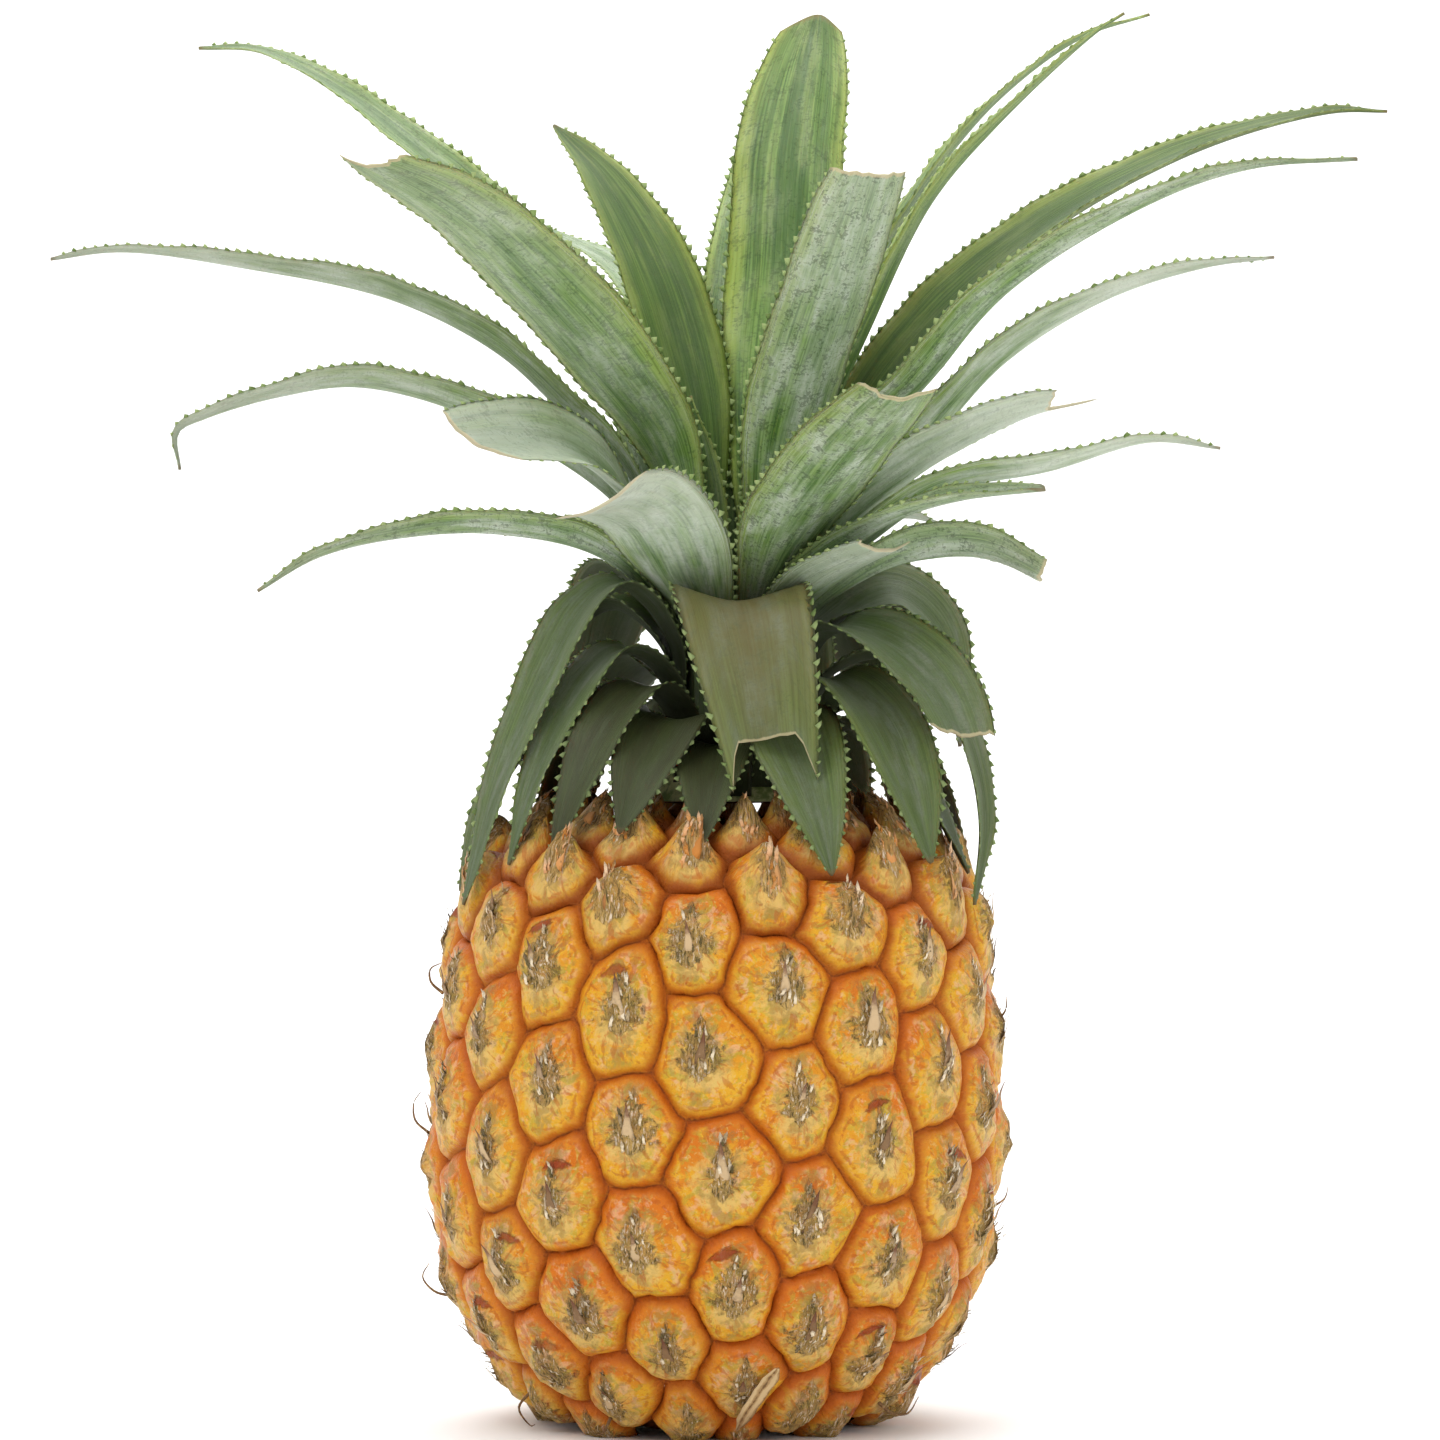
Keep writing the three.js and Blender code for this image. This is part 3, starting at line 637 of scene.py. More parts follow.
@dataclass
class FruitSkin:
    """The skin of domed eyes with grooves between them, in place of the fruit solid.

    Attributes:
        profile: outline of the fruit.
        rule: winding of the eyes.
        groove: depth of the grooves in millimetres.
        plateau: height of an eye's face over the outline.
        shoulder: how fast the face rises from its groove.
        side_steps: points along each of the six sides.
        rings: shares of the way from an eye's middle to its groove.
        stray: how far a corner lies from its place by the rule.
        waver: how far a groove bends from straight.
        firmness: how sharply the distances to the six sides of an eye meet at its corners.
        groove_half: half width of the flat bottom of a groove.
        swell: height of the dome in the middle of an eye.
        ridge: height of the keel above that middle.
        crease: depth of the fold below it.
        beak: how far an eye under the crown stands out, and how far its tip is drawn up.
        lumps: heights of the broad and of the small unevenness.
        under_crown: heights between which the eyes change to those under the crown.
        drift: how far a withered flower stands aside at most.
        breadths: least and greatest breadth of a withered flower.
        seat: radius and height of the flat under the crown, and how far it stands to the right.
        socket: radius and height of the hole for the stalk.
        sides: sides of the turned faces about the socket and under the crown.
        rim: distance to a groove that these faces carry.
    """

    profile: SkinProfile = field(default_factory=SkinProfile)
    rule: EyeRule = field(default_factory=EyeRule)
    groove: float = 2.1
    plateau: float = 0.6
    shoulder: float = 1.25
    side_steps: int = 6
    rings: tuple[float, ...] = (0.14, 0.28, 0.41, 0.53, 0.64, 0.74, 0.83, 0.9, 0.95, 1.0)
    stray: float = 1.8
    waver: float = 1.5
    firmness: float = 1.1
    groove_half: float = 0.25
    swell: float = 1.2
    ridge: float = 0.6
    crease: float = 0.7
    beak: Pair = (2.6, 4.0)
    lumps: Pair = (0.85, 0.34)
    under_crown: Pair = (96, 113)
    drift: float = 1.3
    breadths: Pair = (0.65, 1.2)
    seat: Triple = (19.5, 124.0, 4.0)
    socket: Pair = (12.8, 6.3)
    sides: int = 32
    rim: float = 0.2

    def __post_init__(self) -> None:
        """Prepares the surface and the eyes."""
        self.surface = SkinSurface(self.profile)
        self.eyes = self.lay_out()

    def lay_out(self) -> list[Eye]:
        """Finds the places and corners of all eyes.

        Returns:
            The eyes from the lowest to the highest.
        """
        rule, surface = self.rule, self.surface
        few, some, many = rule.spirals
        distances = {0: surface.distance(rule.front_height)}
        widest = surface.distance(rule.widest_height)

        def rise(distance: float) -> float:
            """Rise to the next eye from a distance along the outline."""
            power = rule.power_above if distance > widest else rule.power_below
            return rule.rise * (surface.radius(distance) / rule.widest) ** power

        for number in range(1, rule.last + many + 1):
            distances[number] = distances[number - 1] + rise(distances[number - 1])
        for number in range(-1, rule.first - many - 1, -1):
            distances[number] = distances[number + 1] - rise(distances[number + 1])

        def corner(number: int, near: int) -> Pair:
            """A corner between an eye and two of its upper neighbours, a little out of its place.

            Args:
                number: the eye.
                near: steps to the nearer neighbour.

            Returns:
                Its turn in degrees and its distance up the outline.
            """
            turn = rule.front_turn + rule.step(number) + (rule.step(near) + rule.step(many)) / 3
            distance = (distances[number] + distances[number + near] + distances[number + many]) / 3
            stray = random.Random(number * 31 + near)
            aside = math.degrees(stray.uniform(-self.stray, self.stray) / surface.radius(distance))
            return turn + aside, distance + stray.uniform(-self.stray, self.stray)

        chance = random.Random(41)
        eyes = []
        for number in range(rule.first, rule.last + 1):
            turn, distance = rule.front_turn + rule.step(number), distances[number]
            around = (
                corner(number - few, few), corner(number, some), corner(number, few),
                corner(number - some, some), corner(number - many, few), corner(number - many, some),
            )
            corners = np.asarray([((t - turn + 180) % 360 - 180, d - distance) for t, d in around])
            height = float(surface.at(np.asarray(turn), np.asarray(distance), np.asarray(0.0))[2])
            crown = float(smooth(*self.under_crown, height))
            drift, breadth = chance.uniform(-self.drift, self.drift), chance.uniform(*self.breadths)
            eyes.append(Eye(number, turn, distance, corners, chance.random(), crown, drift, breadth))
        return eyes

    def patch(self, eye: Eye) -> dict[str, Array]:
        """The points of one eye.

        Args:
            eye: the eye to make.

        Returns:
            Places, local map in millimetres and distance to the groove, middle first and then ring by ring.
        """
        steps = np.arange(self.side_steps) / self.side_steps
        ahead = np.roll(eye.corners, -1, axis=0)
        border = np.concatenate([a + (b - a) * steps[:, None] for a, b in zip(eye.corners, ahead)])
        scale = np.array([math.radians(1) * self.surface.radius(eye.distance), 1.0])
        spots = self.surface.at(eye.turn + border[:, 0], eye.distance + border[:, 1], np.zeros(len(border)))
        bend = self.wandering(spots) / scale
        local = np.vstack([np.zeros(2), *((border + bend * share**2) * share for share in self.rings)])
        straight = np.vstack([np.zeros(2), *(border * share for share in self.rings)]) * scale
        flat, corners = local * scale, eye.corners * scale
        ends = np.roll(corners, -1, axis=0)
        edge = unit(ends - corners)
        apart = straight[:, None, :] - corners
        inward = apart[..., 1] * edge[:, 0] - apart[..., 0] * edge[:, 1]
        rim = -np.log(np.exp(-self.firmness * inward).sum(axis=1)) / self.firmness
        rim = np.maximum(rim + self.groove_half, 0)
        count = len(border)
        rim[-count:] = 0
        x, y = flat[:, 0], flat[:, 1]
        lift = -self.groove + (self.groove + self.plateau) * (1 - np.exp(-rim / self.shoulder))
        fade = smooth(0.6, 3.2, rim)
        swell = self.swell * np.exp(-((x / 5.0) ** 2) - ((y + 0.6) / 5.5) ** 2)
        ridge = self.ridge * np.exp(-((x / 1.6) ** 2)) * smooth(-3, 0, y) * (1 - smooth(3, 6.5, y))
        fold = np.exp(-(((y + 2.6 - 0.05 * x**2) / 0.9) ** 2))
        crease = -self.crease * fold * (1 - smooth(3.5, 7, np.abs(x)))
        long = eye.crown * (self.beak[0] * np.exp(-((x / 3.0) ** 2) - ((y - 1.5) / 4.0) ** 2))
        lift = lift + fade * (swell * (0.55 + eye.breadth * 0.5) + ridge + crease * (0.4 + eye.seed) + long)
        shift = eye.crown * self.beak[1] * np.exp(-(x**2 + (y - 1) ** 2) / 22) * fade
        for row, (a, b) in enumerate(zip(x, y)):
            lump = noise.noise(Vector((a * 0.33 + eye.number * 7.1, b * 0.33, eye.seed * 9)))
            small = noise.noise(Vector((a * 0.8 + eye.number * 3.3, b * 0.8, eye.seed * 5)))
            lift[row] += float(fade[row]) * (self.lumps[0] * lump + self.lumps[1] * small)
        place = self.surface.at(eye.turn + local[:, 0], eye.distance + local[:, 1] + shift, lift)
        return {"place": self.trimmed(place), "map": flat, "rim": rim}

    def wandering(self, spots: Array) -> Array:
        """How far points of a groove stray, alike for the eyes on both sides of it.

        Args:
            spots: the points.

        Returns:
            Millimetres aside and up, a pair a row.
        """
        bends = []
        for spot in spots:
            broad, close = Vector(spot) * 0.13, Vector(spot) * 0.37
            for k in (1, 2):
                fine = noise.noise(close + Vector((5.0 * k, 7, 0)))
                bends.append(noise.noise(broad + Vector((9.0 * k, 0, 0))) + 0.45 * fine)
        return self.waver * np.reshape(bends, (-1, 2))

    def trimmed(self, place: Array) -> Array:
        """Holds points to the flat foot and to the flat seat of the crown.

        Args:
            place: the points, one a row.

        Returns:
            The points in their new places.
        """
        place = place.copy()
        place[:, 2] = np.maximum(place[:, 2], 0)
        radius, height, aside = self.seat
        on_seat = (np.hypot(place[:, 0] - aside, place[:, 1]) < radius) & (place[:, 2] > height)
        place[on_seat, 2] = height
        return place

    def build(self, material: Material) -> Object:
        """Makes the skin with its closed foot and seat.

        Args:
            material: its finish.

        Returns:
            The piece.
        """
        sheet = Sheet()
        count = 6 * self.side_steps
        rim, values = [], []
        for eye in self.eyes:
            made = self.patch(eye)
            start = len(sheet.points)
            sheet.points.extend(made["place"].tolist())
            rim.extend(made["rim"].tolist())
            faces = [(0, 1 + i, 1 + (i + 1) % count) for i in range(count)]
            for ring in range(len(self.rings) - 1):
                low, high = 1 + ring * count, 1 + (ring + 1) * count
                for i in range(count):
                    after = (i + 1) % count
                    faces.append((low + i, high + i, high + after, low + after))
            for face in faces:
                sheet.faces.append([start + corner for corner in face])
                sheet.corner_map.extend(made["map"][corner].tolist() for corner in face)
            values.extend([(eye.seed, eye.crown, eye.drift, eye.breadth)] * len(faces))
        for profile in (self.foot(), self.top()):
            self.lathe(sheet, profile, rim)
        values.extend([(0.5, 0.0, 0.0, 1.0)] * (len(sheet.faces) - len(values)))
        sheet.on_points = {"rim": rim}
        sheet.on_faces = dict(zip(("seed", "crown", "drift", "breadth"), map(list, zip(*values))))
        return sheet.to_object("skin_of_eyes", [material], merge=0.02)

    def foot(self) -> list[Pair]:
        """Profile of the closed underside with the hole for the stalk."""
        radius, height = self.socket
        return [(0.0, height), (radius, height), (radius, 0.02), (radius + 3, 0.02)]

    def top(self) -> list[Pair]:
        """Profile of the disc under the crown."""
        return [(14.0, self.seat[1] - 0.05), (0.0, self.seat[1] - 0.05)]

    def lathe(self, sheet: Sheet, profile: list[Pair], rim: list[float]) -> None:
        """Adds a turned face to the sheet.

        Args:
            sheet: where it goes.
            profile: radius and height of its points.
            rim: groove distances, one for each point, added to.
        """
        start, sides = len(sheet.points), self.sides
        for radius, height in profile:
            for side in range(sides):
                angle = 2 * math.pi * side / sides
                sheet.points.append((radius * math.cos(angle), radius * math.sin(angle), height))
                rim.append(self.rim)
        for row in range(len(profile) - 1):
            for side in range(sides):
                low, after = start + row * sides, (side + 1) % sides
                sheet.faces.append([low + after, low + sides + after, low + sides + side, low + side])
                sheet.corner_map.extend([(0.0, 0.0)] * 4)


@dataclass(frozen=True)
class EyeFinish:
    """Colours of the eyes.

    Attributes:
        amber: the border of an eye.
        orange: the deeper tone along its top.
        yellow: patches.
        cream: the pale middle field.
        blush: pinkish patches.
        green: a tint in some eyes.
        olive: soft shadows about the dry middle.
        groove: between the eyes.
        dark: the bottom of the grooves.
        slit: crescent cracks.
        umber: the shaded parts under the crown.
        tuft: the dry middle.
        tuft_dark: its creases.
        tuft_pale: its bleached flecks.
    """

    amber: Colour = (208, 132, 22)
    orange: Colour = (202, 108, 12)
    yellow: Colour = (216, 164, 34)
    cream: Colour = (212, 176, 98)
    blush: Colour = (220, 172, 134)
    green: Colour = (164, 152, 50)
    olive: Colour = (136, 112, 56)
    groove: Colour = (168, 78, 14)
    dark: Colour = (112, 50, 12)
    slit: Colour = (134, 46, 14)
    umber: Colour = (140, 68, 12)
    tuft: Colour = (150, 120, 82)
    tuft_dark: Colour = (84, 74, 40)
    tuft_pale: Colour = (232, 214, 190)

    def build(self) -> Material:
        """Makes the material.

        Returns:
            The finish of the skin.
        """
        make = Finish("ripe_skin", self.amber)
        x, y = make.own_map()
        rim, seed, crown, drift, breadth = make.attributes("rim", "seed", "crown", "drift", "breadth")
        spot = make.vector(x + seed * 97.0, y + seed * 53.0, seed * 31.0)
        broad = make.cloud(spot, 0.16, 3, 0.5, 0.4)
        middle = make.cloud(spot, 0.42, 4, 0.55, 0.8)
        fine = make.cloud(spot, 1.7, 4, 0.6, 0.3)
        place = make.place()
        grain = make.cloud(place, 1400, 3, 0.6)
        wide = make.cloud(place, 30, 2)

        inner = rim.step(0.9, 2.8)
        make.paint((y + (broad - 0.5) * 9).step(1.0, 8.0), self.orange)
        make.paint((wide - 0.5).step(-0.05, 0.1) * 0.4, self.orange)
        make.paint((wide - 0.5).step(0.02, -0.1) * 0.35, self.yellow)
        gilt = make.cloud((x - seed * 61.0, y + seed * 29.0, seed * 8.0), 0.24, 3, 0.55, 0.6)
        gilt = (gilt - y * 0.012 - rim.step(2.4, 0.4) * 0.06).step(0.47, 0.6)
        make.paint(gilt * 0.8, self.yellow)
        apart = x - drift
        heart = apart * apart / 26.0 + (y + 1.0) * (y + 1.0) / 44.0
        heart = heart + (middle - 0.5) * 3.4 + (broad - 0.5) * 2.2
        pale = heart.step(1.5, 0.75) * inner
        make.paint(pale * 0.55, self.cream)
        tint = make.cloud(spot, 0.3, 3, 0.6, 1.2).step(0.5, 0.62) * inner
        make.paint(tint * 0.6, self.green)
        rosy = make.cloud((x + seed * 11.0, y - seed * 71.0, seed * 5.0), 0.4, 3, 0.55, 0.5)
        make.paint(rosy.step(0.54, 0.65) * inner * 0.55, self.blush)
        base = ((x * x) / 14.0 + (y + 4.4) * (y + 4.4) / 5.0).step(1.8, 0.4) * middle.step(0.36, 0.5)
        make.paint(base * 0.85, self.cream)
        dapple = make.cloud(spot, 1.1, 3, 0.6, 0.4)
        make.paint(dapple.step(0.55, 0.66) * inner * 0.55, self.cream)
        make.paint(dapple.step(0.42, 0.34) * inner * 0.45, self.orange)

        streak = make.cloud((apart * 1.7 + seed * 31.0, y * 0.45, seed * 17.0), 1.3, 4, 0.7, 1.0)
        wild = make.cloud((x + seed * 19.0, y + seed * 47.0, 2.0), 0.55, 4, 0.65, 0.5) - 0.5
        half = (((8.2 - y) * 0.42).least((y + 5.4) * 1.1).least(3.2) * breadth).most(0.02)
        tuft = (apart.size() / half + wild * 3.6).step(1.25, 0.7) * y.step(-6.0, -4.2) * y.step(8.6, 6.8)
        shadow = (apart.size() / (half + 2.2) + wild * 4.0).step(1.5, 0.5) * inner * middle.step(0.6, 0.44)
        make.paint(shadow * 0.55, self.olive)
        make.paint(tuft * 0.42, self.tuft)
        make.paint(tuft * streak.step(0.45, 0.36) * 0.9, self.tuft_pale)
        make.paint(tuft * streak.step(0.54, 0.6) * 0.9, self.tuft_dark)

        reach = (x * x + y * y + 0.4) ** 0.5
        around = (x / reach * 1.6, y / reach * 1.6, rim * 0.1 + seed * 13.0)
        spokes = make.cloud(around, 2.8, 3, 0.6)
        make.paint(spokes.step(0.56, 0.63) * inner * (1.0 - tuft) * 0.5, self.groove)
        sag = y - (seed * 3.0 + 5.4) + (x - 1.0) * (x - 1.0) * 0.06 + wild * 2.0
        off = x - 0.6 + (seed - 0.5) * 6
        slit = (sag.size() + off * off * 0.1).step(1.3, 0.5)
        slit = slit * make.cloud((seed * 91.0, 0.3, 0.2), 3.0, 1).step(0.5, 0.54)
        make.paint(slit * 0.85, self.slit)
        near = rim + (fine - 0.5) * 0.7 + (middle - 0.5) * 1.1
        make.paint(near.step(2.1, 0.3) * 0.8, self.groove)
        # Darker along the bottom of the grooves, broken up by the grain.
        groove_floor_dark = near.step(0.5, 0.0) * (grain * 0.5 + middle * 0.9).step(0.55, 0.85)
        make.paint(groove_floor_dark * 0.85, self.dark)
        make.paint(crown * (near.step(2.8, 0.4) * 0.8 + 0.1), self.umber)
        fold = (rim + (broad - 0.5) * 3.0 + (middle - 0.5) * 1.5 - 2.4).size().step(0.5, 0.1)
        make.paint(fold * middle.step(0.47, 0.54) * 0.55, self.groove)
        freckles = make.cloud(place, 900, 1).step(0.74, 0.8) * rim.step(0.5, 2.0)
        make.paint(freckles * 0.4, self.slit)

        relief = spokes * 0.4 + dapple * 0.3 + fine * 0.25 + streak * tuft * 0.8 + grain * 0.1 - slit * 0.6
        rough = (rim.step(0.2, 1.2) * -0.3 + 0.7) + tuft * 0.3
        return make.close(rough, relief, depth=0.9, coat=0.04, shine=0.2)


# ---- Crown ----


class Look(Enum):
    """How a leaf has aged and how much painted shade it takes: wax bloom, shade, yellow margins, chalk
    towards the tip and tan; the shade is partly the darker tone of old lower leaves and partly painted shade
    under the crown's dome.
    """

    LIME = (0.3, 0.0, 0.85, 0.1, 0.0)
    FRESH = (0.55, 0.05, 0.55, 0.2, 0.0)
    SILVER = (1.0, 0.0, 0.35, 0.3, 0.0)
    GREY = (0.9, 0.15, 0.15, 0.7, 0.05)
    CHALK = (1.0, 0.0, 0.3, 0.9, 0.0)
    DEEP = (0.15, 0.4, 0.7, 0.0, 0.0)
    MOTTLED = (0.95, 0.12, 0.3, 0.0, 0.0)
    DULL = (0.95, 0.62, 0.1, 0.1, 0.1)
    BRONZE = (0.42, 0.5, 0.25, 0.0, 1.0)
    OLIVE = (0.7, 0.62, 0.25, 0.0, 0.2)
    # SHADED is painted shade for the leaves deep under the dome.
    SHADED = (0.4, 1.0, 0.05, 0.0, 0.1)


@dataclass(frozen=True)
class Leaf:
    """Sizes of one leaf of the crown, in degrees and millimetres.

    Attributes:
        name: what its piece is called.
        turn: direction about the crown's axis.
        neck: height at which it leaves the bundle of bases.
        way: radius and height of each point in turn that its midrib passes outside the neck.
        width: greatest width.
        look: how it has aged, with its share of painted shade.
        swing: how far the tip turns aside.
        end: width of the end against the greatest width.
        taper: power by which it narrows; a high one keeps it wide for longer.
        cut: shares of the length that are left on one margin, at the midrib and on the other margin.
        square: half width of the straight part of a cut, as a share of the half width.
        channel: depth of its fold against its half width.
        roll: turn of the blade about its own midrib.
        widen: share of the length at which it is widest.
    """

    name: str
    turn: float
    neck: float
    way: tuple[float, ...]
    width: float
    look: Look = Look.OLIVE
    swing: float = 0.0
    end: float = 0.05
    taper: float = 1.5
    cut: Triple = (1.0, 1.0, 1.0)
    square: float = 0.0
    channel: float = 0.3
    roll: float = 0.0
    widen: float = 0.3


LEAVES = (
    Leaf("droop_01", -98, 131, (23, 135, 34, 129, 45, 116.5), 16, Look.SHADED),
    Leaf("droop_02", 60, 132, (24, 137, 37, 130, 50, 113), 24),
    Leaf("droop_03", -15, 134, (24, 139, 36, 130, 48, 110), 20),
    Leaf("droop_04", 150, 133, (24, 138, 37, 131, 48, 114), 25, roll=-20),
    Leaf("droop_05", -68, 135, (23, 141, 33.5, 132.5, 44, 121, 50, 110.5), 20, roll=15),
    Leaf("droop_06", 100, 135, (25, 142, 39, 135, 49, 120, 54, 106), 25),
    Leaf("droop_07", -119, 135, (24, 140, 35, 132, 46, 118.5), 18.6, Look.SHADED, roll=-20),
    Leaf("droop_08", 28, 137, (25, 143, 39, 137, 50, 121, 54, 106), 24, roll=28),
    Leaf("droop_09", 176, 138, (25, 145, 40, 136.5, 50, 121, 55, 106), 24, roll=-20),
    Leaf("droop_10", -40, 141, (24, 148, 35, 142, 43.5, 129, 50, 112.5), 20, taper=2.2, roll=15),
    Leaf("droop_11", 77, 146, (26, 156, 38, 153, 50, 136, 55, 114), 25),
    Leaf("droop_12", -135, 141, (24, 146.5, 34, 140.6, 42.5, 129, 50, 114.5), 14, Look.SHADED, roll=-20),
    Leaf("droop_13", -2, 145, (27, 153, 40, 149, 47, 136, 51, 121, 51, 104), 15, swing=-20, roll=12),
    Leaf("droop_14", 126, 145, (27, 152, 40, 147, 51, 134, 58, 114), 26),
    Leaf("droop_15", -91, 153, (22, 163, 30, 160.5, 34, 147.5, 36.5, 126), 27, Look.BRONZE, swing=13,
         taper=1.2, end=0.62, cut=(1, 0.87, 0.99), square=0.62),
    Leaf("droop_16", -150, 147, (25, 154, 31, 150.5, 40, 139, 46.5, 125.5, 51, 112), 13, Look.DULL, roll=-15),
    Leaf("droop_17", -33, 149, (24, 158, 36, 155.5, 47, 147, 54, 135), 19, Look.DULL, taper=3, end=0.65,
         cut=(0.93, 0.97, 1), roll=25),
    Leaf("droop_18", 56, 151, (26, 162, 40, 162, 52, 148, 59, 132, 61, 118), 26),
    Leaf("droop_19", 14, 154, (25, 162, 33, 165, 40.5, 160, 45, 149, 47, 135), 24, Look.DULL, roll=45),
    Leaf("droop_22", 166, 153, (24, 163, 32, 159.5, 41, 150, 45.5, 139.8), 18, Look.DULL, roll=-10),
    Leaf("droop_20", 120, 155, (27, 168, 41, 168, 56, 151, 64, 131), 27, Look.DULL),
    Leaf("droop_21", -159, 155, (24, 167, 30.5, 163.5, 40, 148, 49, 128.5, 57, 104), 16, Look.DULL, roll=-18),
    Leaf("spread_01", -48, 158, (27, 167.5, 46, 173.5), 18, Look.GREY, swing=-1, taper=3, end=0.7, widen=0.5),
    Leaf("spread_02", 142, 157, (28, 173, 42, 180, 52, 180.5, 60, 178.5), 18, Look.GREY),
    Leaf("spread_03", -119, 158, (22, 169.5, 32, 178.5, 44, 181.5, 57, 180.5), 23, Look.CHALK, taper=3,
         end=0.7, cut=(1, 1, 0.9), widen=0.4, roll=25),
    Leaf("spread_04", -9, 157, (26, 169, 38, 173.5, 51, 173.5, 62, 168.5), 17, Look.SILVER, taper=4,
         end=0.66, roll=-24),
    Leaf("spread_05", 82, 158, (28, 174, 46, 184, 70, 186, 98, 176), 20, Look.SILVER),
    Leaf("spread_06", -176, 158, (26, 173, 47, 178, 67, 177, 83, 173, 95, 166), 16, Look.SILVER, channel=0.4,
         roll=12),
    Leaf("spread_08", -40, 159, (27, 173, 40, 180, 54, 183.5, 71, 185), 16, Look.SILVER, swing=8, end=0.3,
         channel=0.4, roll=15),
    Leaf("spread_07", 40, 159, (28, 176, 38, 181, 47, 182, 55, 181), 18, Look.GREY),
    Leaf("spread_09", 118, 160, (28, 180, 44, 190, 62, 196, 82, 197), 19, Look.FRESH),
    Leaf("spread_10", -142.5, 160, (25.5, 182.5, 41, 193, 69, 194), 24, Look.GREY, taper=3, end=0.6,
         cut=(1, 0.95, 0.9), widen=0.5, roll=-36),
    Leaf("spread_11", -3, 160, (28, 177, 43, 186.5, 63, 190.5, 83, 196, 97, 194.5), 15, Look.CHALK,
         channel=0.4, roll=-12),
    Leaf("arch_01", -67, 158, (21, 172, 46, 188, 70, 202), 24, Look.MOTTLED, swing=4, taper=4, end=0.72,
         widen=0.5),
    Leaf("arch_02", 179, 162, (24, 184.5, 51, 201, 75, 207.5, 91, 205.5, 106, 201, 111.5, 198, 111, 190.5),
         15, Look.GREY, channel=0.45, widen=0.4, roll=14),
    Leaf("arch_03", 62, 161, (26, 186, 42, 200, 62, 209, 84, 211), 20, Look.FRESH),
    Leaf("arch_04", -30, 160.5, (25.5, 179.5, 39, 188.5, 52, 195, 66, 200, 81, 202.5), 15, Look.CHALK,
         taper=3, end=0.35, cut=(0.94, 0.9, 1), channel=0.4, roll=-15),
    Leaf("arch_05", 128, 161, (24, 187, 34, 201, 44, 209, 55, 213), 20, Look.SILVER),
    Leaf("arch_08", 46, 162, (22, 187, 34, 205, 45, 217, 54, 223.5), 20, Look.CHALK),
    Leaf("arch_06", -6, 161, (23, 180.5, 38, 195, 54, 212, 74, 224, 94, 230, 108, 231.5), 16, Look.CHALK,
         swing=-4, channel=0.4, roll=-15),
    Leaf("arch_07", 167, 161, (21.5, 189.5, 34.5, 202, 49, 215, 71, 226, 103, 233, 129, 236.5, 144, 235), 17,
         Look.GREY, channel=0.4, roll=14),
    Leaf("arch_09", 82, 162, (20, 194, 39, 220, 68, 238, 104, 243), 21, Look.SILVER),
    Leaf("arch_10", -26, 162, (22, 188.5, 41, 207, 58, 224.5, 88, 241, 108, 247, 129, 248), 13, Look.SILVER,
         swing=4, channel=0.45, roll=-12),
    Leaf("arch_11", -150, 162, (15.5, 193.5, 28, 209, 46, 226, 63, 239, 87, 250), 23, Look.FRESH, taper=2.6,
         end=0.22, cut=(1, 0.96, 0.93), widen=0.5, roll=26),
    Leaf("arch_12", 14, 162, (20, 189, 30.5, 206, 47, 225, 68, 241.5, 98, 257, 126, 265, 138.5, 265.5), 20,
         Look.DEEP, channel=0.4, widen=0.35, roll=18),
    Leaf("inner_01", -57, 163, (13, 178, 21.5, 199, 37, 225, 50, 246), 22, Look.SILVER, taper=5, end=0.8,
         widen=0.5),
    Leaf("arch_13", 165, 163, (16, 200, 35, 226, 53, 244, 70, 258.5, 85, 269.5, 100, 277, 113.5, 278), 17,
         Look.FRESH, channel=0.35, widen=0.4, roll=-25),
    Leaf("arch_15", 106, 163, (16.5, 196, 36, 220, 63, 236, 90, 246), 16, Look.SILVER, swing=13, widen=0.5),
    Leaf("arch_14", -11, 163, (17.2, 196, 27, 218, 39.5, 243, 53, 258.5, 73, 276.5, 78.5, 280), 17,
         Look.LIME, channel=0.35, widen=0.4, roll=12),
    Leaf("inner_02", 24, 164, (17, 200, 26, 220.5, 34, 236, 45, 252, 59.5, 267.5, 78, 280.5, 94, 286), 12.5,
         Look.LIME, channel=0.35, widen=0.4, roll=-12),
    Leaf("inner_03", 84, 164, (14, 199, 30, 231, 51, 256, 75, 268), 19, Look.FRESH, widen=0.45),
    Leaf("inner_04", 139, 165, (9.5, 196, 15, 214.5, 22, 231, 35, 250, 49, 262.5), 19, Look.DEEP, taper=2.2,
         widen=0.5, roll=-20),
    Leaf("inner_05", 52, 166, (7.5, 185, 12.5, 205, 17.5, 225.5, 21, 256, 28, 284), 25, Look.LIME, taper=5,
         end=0.35, widen=0.5, roll=12),
    Leaf("heart_01", -150, 167, (5.5, 187, 10, 205), 9, Look.LIME),
    Leaf("heart_02", -30, 168, (5, 187, 8.5, 200), 9, Look.LIME),
)


@dataclass(frozen=True)
class Bundle:
    """How the leaf bases are nested about the crown's axis.

    Attributes:
        aside: how far the axis stands to the right.
        outer: radius of the outermost base.
        step: how much nearer each next base lies.
        low: height at which the first base starts.
        rise: how much higher each next one starts.
        angle_outer: half of the turn that the outermost base covers, in degrees.
        angle_inner: the same for the innermost one.
    """

    aside: float = 4.0
    outer: float = 18.0
    step: float = 0.24
    low: float = 125.4
    rise: float = 0.45
    angle_outer: float = 19.0
    angle_inner: float = 10.0


